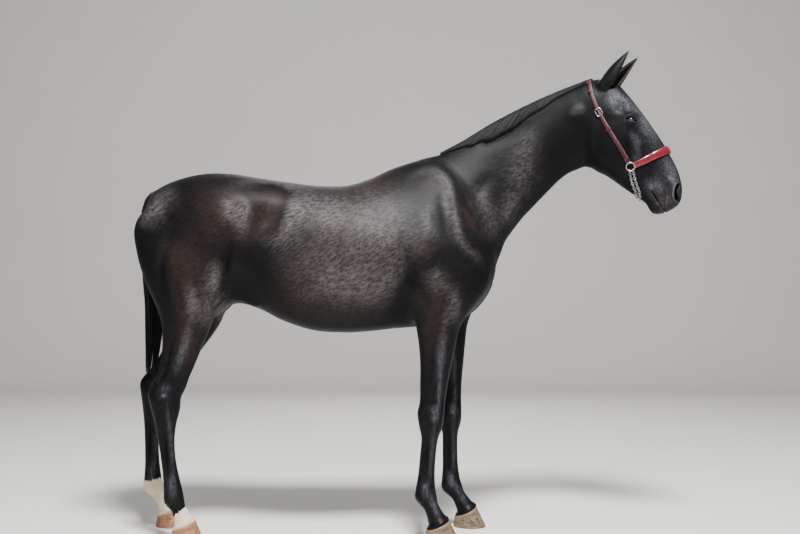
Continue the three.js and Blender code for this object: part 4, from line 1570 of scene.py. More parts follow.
@dataclass(frozen=True)
class HairFinish(Finish):
    """Long hair: each lock has its own tone, and fine streaks of painted sheen run along it,
    brightest near the root.
    """

    dark: Colour = (0.0035, 0.0035, 0.0048)
    # light is the colour of the painted sheen along the locks
    light: Colour = (0.024, 0.024, 0.031)
    tip: Colour = (0.008, 0.006, 0.006)
    gloss: float = 0.4

    def sockets(self) -> dict[int | str, Any]:
        """Tone from the lock, a bleached tip and streaks along it.

        Returns:
            What the shader's sockets get.
        """
        tone, along = self.mark("tone"), self.mark("along")
        streak = self.noise(self.drawn((0.2, 0, 1), 20.0), 700.0, 2.0)
        # painted sheen: streaks of the light colour, bright near the root and fading towards the
        # tip
        lit = tone * streak.step(0.3, 0.7) * along.step(0.15, 0.75, 1.0, 0.1)
        colour = self.blend(lit, self.dark, self.light)
        colour = self.blend(along.step(0.6, 1.0, 0.0, 0.6), colour, self.tip)
        return {
            "Base Color": colour,
            "Roughness": self.gloss + streak * 0.15,
            "IOR": 1.24,
            "Normal": self.bump(streak, 0.5, 0.002),
        }


@dataclass(frozen=True)
class EyeFinish(Finish):
    """A wet dark-brown eye with a long pupil that lies level."""

    iris: Colour = (0.014, 0.009, 0.008)
    rim: Colour = (0.004, 0.003, 0.003)
    # painted reflection: the bluish tone given to the pupil
    painted_reflection: Colour = (0.012, 0.019, 0.034)
    pupil: tuple[float, float] = (8.5, 4.6)
    iris_size: float = 16.0

    def sockets(self) -> dict[int | str, Any]:
        """Rings about the middle of the eye, in the eye's own directions.

        Returns:
            What the shader's sockets get.
        """
        spot = self.node("ShaderNodeSeparateXYZ", {}, {0: self.mark("spot", "Vector")}, "X")
        across, up = spot, Shade(self, spot.socket.node.outputs["Y"])
        away = (across * across + up * up) ** 0.5
        wide, high = self.pupil
        off = ((across / wide) ** 2 + (up / high) ** 2) ** 0.5
        rays = self.noise(self.place(), 900.0, 3.0)
        colour = self.blend(rays.step(0.3, 0.7), self.rim, self.iris)
        colour = self.blend((away / self.iris_size).step(0.75, 1.0), colour, self.rim)
        # painted reflection: the pupil is painted bluish, as light mirrored in the wet eye
        colour = self.blend(off.step(0.85, 1.15, 1.0, 0.0), colour, self.painted_reflection)
        return {"Base Color": colour, "Roughness": 0.06, "Coat Weight": 1.0, "Coat Roughness": 0.02}


@dataclass(frozen=True)
class HornFinish(Finish):
    """Hoof horn with rings of growth and streaks from the coronet to the ground."""

    pale: Colour = (0.235, 0.155, 0.09)
    grey: Colour = (0.055, 0.042, 0.034)
    brown: Colour = (0.11, 0.062, 0.032)

    def sockets(self) -> dict[int | str, Any]:
        """Rings and streaks from the wall's own directions.

        Returns:
            What the shader's sockets get.
        """
        down, around = self.mark("down"), self.mark("around")
        streak_at = self.node("ShaderNodeCombineXYZ", {}, {0: around * 9.0, 1: down * 0.8, 2: 0.0})
        ring_at = self.node("ShaderNodeCombineXYZ", {}, {0: around * 0.7, 1: down * 14.0, 2: 0.0})
        streak = self.noise(streak_at, 3.0, 3.0, 0.6)
        ring = self.noise(ring_at, 1.0, 3.0, 0.6)
        patch = self.noise(self.place(), 45.0, 4.0, 0.65)
        colour = self.blend(streak.step(0.4, 0.7) * 0.6, self.pale, self.brown)
        colour = self.blend(ring.step(0.4, 0.62) * 0.8, colour, self.grey)
        colour = self.blend(patch.step(0.5, 0.62) * down.step(0.1, 0.35), colour, self.grey)
        colour = self.blend(down.step(0.02, 0.2, 0.8, 0.0), colour, self.pale)
        dust = self.noise(self.place(), 260.0, 3.0).step(0.45, 0.8) * down.step(0.5, 1.0)
        colour = self.blend(dust * 0.6, colour, (0.26, 0.21, 0.16))
        return {
            "Base Color": colour,
            "Roughness": 0.5 + ring * 0.2,
            "Normal": self.bump(ring * 0.7 + streak * 0.3, 0.5, 0.002),
        }


@dataclass(frozen=True)
class LeatherFinish(Finish):
    """Dyed leather with a fine grain, darker and smoother where it is worn."""

    colour: Colour = (0.042, 0.0045, 0.0085)
    worn: Colour = (0.062, 0.009, 0.014)
    shade: Colour = (0.024, 0.005, 0.013)
    gloss: float = 0.42
    grain: float = 0.35
    varnish: float = 0.0

    def sockets(self) -> dict[int | str, Any]:
        """Grain from small cells, tone from soft clouds.

        Returns:
            What the shader's sockets get.
        """
        cells = self.node("ShaderNodeTexVoronoi", {}, {"Vector": self.place(), "Scale": 900.0})
        cloud = self.noise(self.place(), 60.0, 4.0, 0.6)
        colour = self.blend(cloud.step(0.3, 0.55), self.shade, self.colour)
        colour = self.blend(cloud.step(0.56, 0.8) * 0.7, colour, self.worn)
        return {
            "Base Color": colour,
            "Roughness": self.gloss + cloud * 0.15,
            "Normal": self.bump(cells, self.grain, 0.0006),
            "Coat Weight": self.varnish,
            "Coat Roughness": 0.08,
            "IOR": 1.35,
        }


@dataclass(frozen=True)
class ThreadFinish(Finish):
    """Waxed thread."""

    colour: Colour = (0.42, 0.29, 0.27)

    def sockets(self) -> dict[int | str, Any]:
        """A twisted strand, a little dirty.

        Returns:
            What the shader's sockets get.
        """
        twist = self.noise(self.place(), 1500.0, 2.0)
        colour = self.blend(twist.step(0.3, 0.7), tuple(0.55 * c for c in self.colour), self.colour)
        return {"Base Color": colour, "Roughness": 0.7, "Normal": self.bump(twist, 0.5, 0.0003)}


@dataclass(frozen=True)
class MetalFinish(Finish):
    """Polished steel, dull and scratched where it rubs."""

    bright: Colour = (0.52, 0.51, 0.49)
    dull: Colour = (0.14, 0.13, 0.12)

    def sockets(self) -> dict[int | str, Any]:
        """Tarnish in clouds and fine scratches.

        Returns:
            What the shader's sockets get.
        """
        cloud = self.noise(self.place(), 150.0, 4.0, 0.65)
        scratch = self.noise(self.drawn((0.6, 0.3, 0.7), 12.0), 1400.0, 2.0)
        colour = self.blend(cloud.step(0.4, 0.75), self.bright, self.dull)
        return {
            "Base Color": colour,
            "Metallic": 1.0,
            "Roughness": 0.16 + cloud * 0.2 + scratch * 0.1,
            "Normal": self.bump(scratch, 0.15, 0.0004),
        }


@dataclass(frozen=True)
class PlainFinish(Finish):
    """A plain matt surface with faint clouds."""

    colour: Colour = (0.74, 0.72, 0.69)
    rough: float = 0.9

    def sockets(self) -> dict[int | str, Any]:
        """Nearly one tone.

        Returns:
            What the shader's sockets get.
        """
        cloud = self.noise(self.place(), 1.2, 3.0)
        darker = tuple(0.94 * c for c in self.colour)
        return {"Base Color": self.blend(cloud, darker, self.colour), "Roughness": self.rough}


COAT = CoatFinish("coat_black", Slot.COAT)
HAIR = HairFinish("long_hair", Slot.HAIR)
TAIL_HAIR = HairFinish("tail_hair", Slot.HAIR, light=(0.016, 0.015, 0.018), gloss=0.5)
FUZZ = HairFinish("ear_fuzz", Slot.HAIR, (0.05, 0.04, 0.034), (0.24, 0.2, 0.17), (0.22, 0.18, 0.15))
EYEBALL = EyeFinish("wet_eye", Slot.EYE)
HORN = HornFinish("hoof_horn", Slot.HORN)
RED_HORN = HornFinish(
    "hoof_horn_pale", Slot.HORN, (0.36, 0.18, 0.085), (0.12, 0.048, 0.024), (0.26, 0.09, 0.035)
)
LEATHER = LeatherFinish("red_leather", Slot.LEATHER)
PATENT = LeatherFinish(
    "red_patent", Slot.PATENT, (0.15, 0.004, 0.016), (0.17, 0.006, 0.021), (0.12, 0.003, 0.013),
    gloss=0.24, grain=0.05, varnish=0.8,
)
THREAD = ThreadFinish("waxed_thread", Slot.LEATHER)
METAL = MetalFinish("polished_steel", Slot.METAL)
FLOOR = PlainFinish("studio_floor", Slot.COAT)


# ---- making pieces


def mesh_of(name: str, points: Points, faces: Iterable[Sequence[int]], smooth: bool = True) -> Any:
    """A mesh from places in millimetres, in the turned frame, and faces.

    Args:
        name: the mesh's name.
        points: its places.
        faces: its faces.
        smooth: whether it is shaded smooth.

    Returns:
        The mesh.
    """
    made = bpy.data.meshes.new(name)
    rows = [face.tolist() if isinstance(face, np.ndarray) else list(face) for face in faces]
    made.from_pydata((np.asarray(points) * MM).tolist(), [], rows)
    made.polygons.foreach_set("use_smooth", np.full(len(made.polygons), smooth))
    made.update()
    return made


def put_in_scene(name: str, data: Any) -> Piece:
    """A new object in the scene, at the origin.

    Args:
        name: its name.
        data: its mesh, lamp or camera.

    Returns:
        The object.
    """
    made = bpy.data.objects.new(name, data)
    bpy.context.scene.collection.objects.link(made)
    return made


def add_piece(
    name: str, mesh: Mesh, finish: Finish, replaced: Sequence[str] = ()
) -> Piece:
    """Puts a finished piece on the horse.

    Args:
        name: the piece's name.
        mesh: its mesh.
        finish: what it is made of.
        replaced: the solids that it stands for.

    Returns:
        The new object.
    """
    piece = put_in_scene(name, mesh)
    mesh.materials.clear()
    mesh.materials.append(finish.material())
    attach(piece, "root")
    if replaced:
        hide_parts(*replaced)
    LOG.info("%s: %d faces", name, len(mesh.polygons))
    return piece


def keep(mesh: Mesh, name: str, values: np.ndarray) -> None:
    """Keeps a number or a direction for each of a mesh's points.

    Args:
        mesh: the mesh.
        name: what they are kept as.
        values: one number or one row for each point.
    """
    kind = "FLOAT" if values.ndim == 1 else "FLOAT_VECTOR"
    field_name = "value" if values.ndim == 1 else "vector"
    attribute = mesh.attributes.new(name, kind, "POINT")
    attribute.data.foreach_set(field_name, values.astype(np.float32).ravel())


def tube_faces(around: int, along: int, closed: bool = False) -> list[list[int]]:
    """Faces of a tube of rings, with its ends capped unless it is closed on itself.

    Args:
        around: how many points a ring has.
        along: how many rings there are.
        closed: whether the last ring meets the first.

    Returns:
        The faces, each as numbers of points.
    """
    faces = []
    for j in range(along if closed else along - 1):
        k = (j + 1) % along
        for i in range(around):
            n = (i + 1) % around
            faces.append([j * around + i, j * around + n, k * around + n, k * around + i])
    if not closed:
        faces.append(list(range(around))[::-1])
        faces.append([(along - 1) * around + i for i in range(around)])
    return faces


def outward(points: Points, faces: list[list[int]]) -> list[list[int]]:
    """The faces of a closed shape, all turned over if they point inwards.

    Args:
        points: its points.
        faces: its faces.

    Returns:
        The faces, turned outwards.
    """
    volume = 0.0
    middle = np.asarray(points).mean(0)
    for face in faces:
        a = points[face[0]] - middle
        for i in range(1, len(face) - 1):
            volume += a @ np.cross(points[face[i]] - middle, points[face[i + 1]] - middle)
    return faces if volume > 0 else [face[::-1] for face in faces]


def tube(lines: Sequence[Points], closed: bool = False) -> Solid:
    """A closed shape over lines of points that run side by side along it."""
    points = np.stack(lines, axis=1).reshape(-1, 3)
    return points, outward(points, tube_faces(len(lines), len(lines[0]), closed))


def lay_out(mesh: Mesh, spots: np.ndarray) -> None:
    """Gives a mesh the unwrap named UNWRAP.

    Args:
        mesh: the mesh.
        spots: where each of its points lies on the unwrap.
    """
    corners = np.zeros(len(mesh.loops), int)
    mesh.loops.foreach_get("vertex_index", corners)
    layer = mesh.uv_layers.new(name=UNWRAP)
    layer.data.foreach_set("uv", spots[corners].astype(np.float32).ravel())


class Locks:
    """Many tapering locks of hair, each a flat solid strip along its own path."""

    PATCH = 0.0015  # half the size of a lock's patch on the unwrap
    SPREAD = (1.0, 0.3, -1.0, -0.3)  # where a ring's corners lie across the patch

    def __init__(self, paths: np.ndarray, out: np.ndarray, width: np.ndarray, thick: float) -> None:
        """Builds the strips.

        Args:
            paths: the places along each lock, in millimetres: lock, step, coordinate.
            out: which way each place's flat side faces.
            width: the width at each place: lock, step.
            thick: how thick a lock is, as a share of its width.
        """
        count, steps, _ = paths.shape
        run = unit(np.gradient(paths, axis=1))
        across = unit(np.cross(out, run))
        up = unit(np.cross(run, across))
        half = width[:, :, None] / 2
        corners = [across * half, up * half * thick, -across * half, -up * half * thick]
        rings = np.stack([paths + corner for corner in corners], axis=2)
        self.points = rings.reshape(-1, 3)
        self.out = np.repeat(out.reshape(-1, 3), 4, axis=0)
        self.count = count
        self.along = np.repeat(np.linspace(0, 1, steps), 4)
        self.beside = np.tile(self.SPREAD, steps)
        one = np.array(
            [
                [4 * j + i, 4 * j + (i + 1) % 4, 4 * j + 4 + (i + 1) % 4, 4 * j + 4 + i]
                for j in range(steps - 1)
                for i in range(4)
            ]
            + [[3, 2, 1, 0], [4 * steps - 4 + i for i in range(4)]]
        )
        self.faces = (np.arange(count)[:, None, None] * 4 * steps + one).reshape(-1, 4)

    def mesh(
        self, name: str, marks: dict[str, np.ndarray], roots: np.ndarray, flush: bool = False
    ) -> Mesh:
        """The locks as one mesh.

        Args:
            name: the mesh's name.
            marks: a value for each lock, kept on all of its points.
            roots: where each lock's root lies on the skin's unwrap.
            flush: whether the locks catch the light as the skin under them does.

        Returns:
            The mesh, with its marks and its unwrap.
        """
        made = mesh_of(name, bend_neck(self.points), self.faces)
        each = len(self.along)
        for key, values in marks.items():
            keep(made, key, np.repeat(values, each, axis=0))
        along = np.tile(self.along, self.count)
        keep(made, "along", along)
        spread = np.stack([np.tile(self.beside, self.count), 2 * along - 1], axis=1) * self.PATCH
        lay_out(made, np.repeat(roots, each, axis=0) + spread)
        if flush:
            turned = bend_neck(self.points + self.out) - bend_neck(self.points)
            made.normals_split_custom_set_from_vertices(turned.tolist())
        return made


class Spikes(Locks):
    """Many short tufts, each of four faces from a root to a point."""

    def __init__(self, paths: np.ndarray, out: np.ndarray, width: np.ndarray, thick: float) -> None:
        """Builds the spikes from the root and the tip of each. See Locks.

        Args:
            paths: the root and the tip of each.
            out: which way the flat side faces at each place.
            width: the width of each.
            thick: its thickness as a share of its width.
        """
        across = unit(np.cross(out[:, 0], paths[:, 1] - paths[:, 0])) * width[:, None]
        top = paths[:, 0] + out[:, 0] * (width * thick)[:, None]
        corners = [paths[:, 0] + across, paths[:, 0] - across, top, paths[:, 1]]
        self.points = np.stack(corners, axis=1).reshape(-1, 3)
        self.out = np.repeat(out[:, 0], 4, axis=0)
        self.count = len(paths)
        self.along, self.beside = np.array([0.0, 0, 0, 1]), np.array([1.0, -1.0, 0.2, 0.0])
        one = np.array([[0, 1, 2], [0, 3, 1], [1, 3, 2], [2, 3, 0]])
        self.faces = (np.arange(self.count)[:, None, None] * 4 + one).reshape(-1, 3)


# ---- skin and coat

# painted sheen: pale where the light catches the glossy coat, with a painted highlight on the lower
# lip; a negative height takes sheen away
PAINTED_SHEEN = [
    # rump, hip, loin and thigh
    (0.75, 48, -1100, 1290, -1045, 1395, -950, 1490),
    (0.9, 32, -728, 1440, -722, 1380, -700, 1305),
    (0.8, 28, -648, 1430, -660, 1370, -685, 1240),
    (-1.5, 46, -568, 1530, -545, 1390, -575, 1255),
    (-0.8, 50, -560, 1150, -660, 1110, -720, 1060),
    (1.0, 20, -760, 1492, -600, 1500, -500, 1490, -360, 1470),
    (0.9, 34, -755, 1180, -785, 1070, -802, 980),
    (0.7, 30, -796, 1020, -815, 950, -824, 860),
    # barrel
    (0.8, 55, -420, 1490, -460, 1400, -500, 1300, -570, 1190),
    (0.6, 75, -470, 1470, -340, 1380, -250, 1290),
    (0.62, 120, -420, 1440, -170, 1370, -40, 1260, 60, 1120),
    (0.62, 85, -520, 1060, -300, 1050, -90, 1060, 60, 1200),
    (0.3, 130, -560, 1250, -300, 1180, 0, 1160),
    # shoulder and arm
    (0.6, 20, -20, 1520, 60, 1550, 140, 1542, 183, 1490, 176, 1412, 208, 1337, 241, 1237, 310, 1172,
     350, 1110),
    (0.45, 26, 106, 1430, 96, 1340, 104, 1235),
    (0.45, 40, 290, 1530, 350, 1380, 408, 1220),
    (0.4, 40, 100, 1150, 133, 1087, 155, 1010),
    (0.5, 26, 180, 1080, 208, 985, 190, 880),
    # neck and head
    (0.45, 36, 458, 1480, 452, 1395, 430, 1300),
    (0.35, 60, 550, 1780, 515, 1600, 470, 1370),
    (0.9, 18, 715, 1788, 752, 1812, 790, 1838),
    (0.9, 36, 870, 1878, 920, 1850, 990, 1828),
    (0.95, 38, 960, 1885, 1010, 1812, 1062, 1722, 1118, 1610),
    (0.7, 32, 1100, 1640, 1143, 1560, 1176, 1470),
    (0.6, 22, 940, 1735, 985, 1690, 1030, 1650),
    (0.5, 16, 978, 1710, 1002, 1640, 1012, 1570),
    (1.6, 6, 1108, 1402, 1104, 1385, 1107, 1368),
    (0.6, 30, 1030, 1520, 1071, 1490, 1110, 1440),
]
BROWN = [
    (1.0, 70, -710, 1500, -685, 1350, -690, 1210),
    (1.2, 62, -565, 1510, -560, 1380, -590, 1230),
    (1.0, 130, -560, 1270, -300, 1190, -150, 1180, 40, 1160),
    (0.9, 100, -600, 1120, -350, 1000, -60, 960),
    (1.0, 85, -900, 1300, -880, 1080, -880, 880),
    (0.8, 40, -975, 1270, -972, 1200, -968, 1130),
    (0.7, 80, -840, 1540, -790, 1350, -800, 1180),
    (0.85, 26, 190, 1510, 250, 1395, 300, 1303, 362, 1235),
    (0.9, 44, 0, 1270, 67, 1220, 130, 1180),
    (0.8, 28, 40, 1500, 110, 1505, 170, 1460),
    (0.9, 56, -905, 980, -900, 830, -950, 700),
    (0.7, 60, 160, 1120, 120, 950, 100, 720),
    (0.8, 50, 40, 1570, -150, 1500, -400, 1490),
]
# painted shade: round and under the eye, on the jaw, throat and upper neck, the mane's shadow along
# the neck, behind the elbow and arm, in the shoulder, flank and loin creases, and on the back of
# the buttocks
PAINTED_SHADE = [
    (1.3, 30, 986, 1757),
    (1.0, 34, 930, 1800, 955, 1700, 985, 1600),
    (1.6, 38, 80, 1220, 20, 1080, -20, 980, -70, 860),
    (1.1, 12, 117, 1400, 117, 1355, 117, 1310),
    (1.0, 34, -730, 1210, -640, 1165, -570, 1140),
    (1.4, 14, -734, 1230, -752, 1100, -768, 980),
    (1.3, 85, 740, 1900, 700, 1700, 620, 1500),
    (1.2, 60, 840, 1770, 900, 1650, 980, 1550),
    (0.9, 48, 780, 1830, 810, 1690, 880, 1590),
    (0.9, 55, -1100, 1290, -1020, 1080, -985, 850),
    (1.3, 30, 230, 1610, 430, 1710, 560, 1800, 730, 1900),
    (0.9, 32, 300, 1160, 292, 1090, 280, 1010),
    (1.3, 12, -690, 1484, -590, 1489, -490, 1484),
]


def on_face(points: Points) -> Values:
    """How far each point is on the face, where the hair is finest, from 0 to 1."""
    return ease(780, 860, points[:, 0]) * ease(1250, 1350, points[:, 2])


def on_leg(points: Points) -> Values:
    """How far each point is down on a leg, where the hair lies downwards, from 0 to 1."""
    return ease(900, 760, points[:, 2])


class Skin:
    """The horse's skin in one piece, and what is known of it at each place."""

    FLESH = ("trunk", "neck", "head", "ear_right", "ear_left")
    # how high the white marks reach at a place along the horse, and how steeply they rise forwards
    WHITE_TOP = {"hind_left": (226, -1000, 0.15), "hind_right": (144, -916, 0.95)}
    WHITE_RAGGED = 36  # over how much of its height a mark's edge frays
    LOW, HIGH = (-1212, -330, -12), (1236, 330, 2100)  # the space that the horse is in
    # which way the hair lies, and the middle of the whorl on the flank
    BODY_HAIR, LEG_HAIR = np.array([-0.9, 0.0, -0.42]), np.array([0.0, 0.0, -1.0])
    FACE_HAIR, WHORL = np.array([0.3, 0.0, -0.95]), (-637, 0, 1188)
    NOSE = (1150, 0, 1420)  # the middle of the bare skin of the muzzle

    def __init__(self) -> None:
        """Shapes the skin."""
        self.flesh = Flesh()
        net = FleshNet(self.flesh.distance, self.flesh.detail, self.LOW, self.HIGH)
        points, faces = net.surface()
        points, normals = self.flesh.settle(points)
        self.points = points + self.flesh.lift(points, normals)[:, None] * normals
        self.normals = normals
        faces = self.filled(points, faces)
        self.faces = np.array([list(face) + [face[0]] * (4 - len(face)) for face in faces])
        self.rows = faces
        self.middles = self.points[self.faces].mean(1)

    def filled(self, points: Points, faces: list[tuple[int, ...]]) -> list[tuple[int, ...]]:
        """The same faces, and small new ones over any gap that the cubes left between them.

        Args:
            points: the skin's points.
            faces: its faces.

        Returns:
            All the faces.
        """
        form = bmesh.new()
        spots = [form.verts.new(point) for point in points]
        for face in faces:
            corners = [spots[i] for i in face]
            if not form.faces.get(corners):
                form.faces.new(corners)
        rims = [edge for edge in form.edges if edge.is_boundary]
        made = bmesh.ops.holes_fill(form, edges=rims, sides=0)["faces"]
        bmesh.ops.triangulate(form, faces=made)
        form.verts.index_update()
        rows = [tuple(corner.index for corner in face.verts) for face in form.faces]
        LOG.info("skin: %d gap edges filled", len(rims))
        form.free()
        return rows

    def marks(self, points: Points, normals: Points) -> dict[str, Values]:
        """The tones and bare places at points of the skin, each from 0 to 1.

        Args:
            points: the places, one row each.
            normals: which way the skin faces at each.

        Returns:
            A value for each point, under the name of its mark.
        """
        x, y, z = points.T
        made = {}
        # painted sheen, with a painted highlight along the rims of the nostrils
        silver = bands(PAINTED_SHEEN) + leg_bands(FORE_PAINTED_SHEEN, HIND_PAINTED_SHEEN, (-0.3, 0.5, 1.3))
        silver.append(Relief(Muzzle.RIM, 1.4, 4.5))
        for name, found in (("silver", silver), ("brown", bands(BROWN)), ("deep", bands(PAINTED_SHADE))):
            made[name] = np.clip(sum(band.at(points, normals) for band in found), 0, 1)
        white = np.zeros(len(points))
        for leg in LEGS:
            if leg.name in self.WHITE_TOP:
                mine = (y * leg.side.value > 0) & (x < -800) & (z < 400)
                height, at, slope = self.WHITE_TOP[leg.name]
                above = height + slope * (x - at) - z
                white += mine * (0.5 + above / self.WHITE_RAGGED)
        made["white"] = np.clip(white, 0, 1)
        # painted shade under the body: the more the skin faces down, the darker
        made["deep"] = np.clip(made["deep"] + 0.7 * ease(0.4, 0.95, -normals[:, 2]), 0, 1)
        nose = np.linalg.norm((points - self.NOSE) * [1, 0.7, 1], axis=1)
        lids = np.linalg.norm(EYE.local(points) * [0.8, 1, 1], axis=1)
        made["bare"] = np.clip(ease(120, 40, nose) + 0.6 * ease(30, 22, lids), 0, 1)
        made["on_face"] = on_face(points)
        made["on_leg"] = on_leg(points) * (1 - made["on_face"])
        return made

    def lie(self, points: Points) -> Points:
        """Which way the hair lies at each point.

        Args:
            points: the places, one row each.

        Returns:
            A vector of length one at each.
        """
        way = lerp(self.BODY_HAIR, self.LEG_HAIR, on_leg(points)[:, None])
        way = lerp(way, self.FACE_HAIR, on_face(points)[:, None])
        whorl = points - self.WHORL
        whorl[:, 1] = 0
        near = np.exp(-((np.linalg.norm(whorl, axis=1) / 70) ** 2))[:, None]
        swirl = unit(whorl + 1.4 * np.cross(whorl, [0, 1, 0]))
        return unit(lerp(way, swirl, near))

    def build(self) -> Piece:
        """Makes the skin's piece with its marks and its unwrap.

        Returns:
            The piece.
        """
        mesh = mesh_of("skin", bend_neck(self.points), self.rows)
        for name, values in self.marks(self.points, self.normals).items():
            keep(mesh, name, values)
        nodes = list(self.FLESH)
        for leg in LEGS:
            upper = "gaskin" if leg.is_hind else "forearm"
            nodes += [f"{leg.name}_{part}" for part in (upper, "cannon", "pastern")]
        piece = add_piece("skin", mesh, COAT, nodes)
        bpy.context.view_layer.objects.active = piece
        piece.select_set(True)
        mesh.uv_layers.new(name=UNWRAP)
        bpy.ops.object.mode_set(mode="EDIT")
        bpy.ops.mesh.select_all(action="SELECT")
        bpy.ops.uv.smart_project(angle_limit=math.radians(72), island_margin=0.002)
        bpy.ops.object.mode_set(mode="OBJECT")
        piece.select_set(False)
        corners = np.zeros(2 * len(mesh.loops))
        mesh.uv_layers[UNWRAP].data.foreach_get("uv", corners)
        starts = np.zeros(len(mesh.polygons), int)
        mesh.polygons.foreach_get("loop_start", starts)
        sizes = np.array([len(row) for row in self.rows])
        self.unwrap = np.add.reduceat(corners.reshape(-1, 2), starts) / sizes[:, None]
        return piece

    def areas(self) -> Values:
        """The size of each face."""
        a, b, c, d = (self.points[self.faces[:, i]] for i in range(4))
        return np.linalg.norm(np.cross(c - a, d - b), axis=1) / 2

    def nearest(self, spots: Points) -> np.ndarray:
        """The face nearest to each spot.

        Args:
            spots: the places.

        Returns:
            The number of a face for each.
        """
        tree = KDTree(len(self.middles))
        for i, middle in enumerate(self.middles):
            tree.insert(middle, i)
        tree.balance()
        return np.array([tree.find(spot)[1] for spot in spots])


@dataclass
class CoatTufts:
    """Short tufts over the skin, which break its outline on every side."""

    skin: Skin
    count: int = 84000
    seed: int = 11
    fine_from: float = 800.0  # below this height, and ahead of this place, they are fine
    fine_weight: float = 2.4  # how many times closer the fine ones stand
    eye_gap: float = 27.0  # how near the middle of an eye they stand

    def build(self) -> None:
        """Makes the tufts of the body and of the head and legs."""
        rng = np.random.default_rng(self.seed)
        skin = self.skin
        x, y, z = skin.middles.T
        fine = (z < self.fine_from) | (x > self.fine_from)
        weight = skin.areas() * np.where(fine, self.fine_weight, 1.0)
        near_eye = np.linalg.norm(EYE.local(skin.middles), axis=1) < self.eye_gap
        weight[near_eye | ((x > 1090) & (z < 1520)) | (z < 60)] = 0
        chosen = rng.choice(len(weight), self.count, p=weight / weight.sum())
        share = rng.dirichlet([1, 1, 1, 1], self.count)
        roots = (skin.points[skin.faces[chosen]] * share[:, :, None]).sum(1)
        normals = unit(skin.normals[skin.faces[chosen]].mean(1))
        way = skin.lie(roots)
        way = unit(way - normals * (way * normals).sum(1, keepdims=True))
        sideways = np.cross(normals, way)
        way = unit(way + sideways * rng.normal(0, 0.13, (self.count, 1)))
        x, y, z = roots.T
        small = (z < self.fine_from) | (x > self.fine_from)
        shaggy = self.shaggy(roots, normals)
        length = rng.uniform(8, 14, self.count) * np.where(small, 0.6, 1.0) * (1 + 1.2 * shaggy)
        lift = 0.5 + rng.uniform(0, 0.6, self.count) + 6 * shaggy
        width = np.where(small, 0.45, 0.7)
        paths = np.stack([roots - 0.2 * normals] * 2, axis=1)
        paths[:, 1] += way * length[:, None] + normals * lift[:, None]
        out = np.repeat(normals[:, None], 2, axis=1)
        marks = skin.marks(roots, normals)
        for name, part in (("body", ~small), ("head_and_legs", small)):
            locks = Spikes(paths[part], out[part], width[part], 0.4)
            mine = {key: values[part] for key, values in marks.items()}
            mesh = locks.mesh(f"coat_{name}", mine, skin.unwrap[chosen[part]], True)
            add_piece(f"coat_{name}", mesh, COAT)

    @staticmethod
    def shaggy(points: Points, normals: Points) -> Values:
        """How far the hair stands off, from 0 to 1: behind the fetlocks and under the jaw.

        Args:
            points: the places, one row each.
            normals: which way the skin faces at each.

        Returns:
            The share at each.
        """
        x, y, z = points.T
        behind = ease(0.2, 0.7, -normals[:, 0])
        fetlock = behind * ease(110, 150, z) * ease(235, 200, z)
        jaw = ease(0.3, 0.8, -normals[:, 2]) * ease(820, 880, x) * ease(1050, 980, x)
        return np.clip(0.6 * fetlock + 0.25 * jaw, 0, 1)


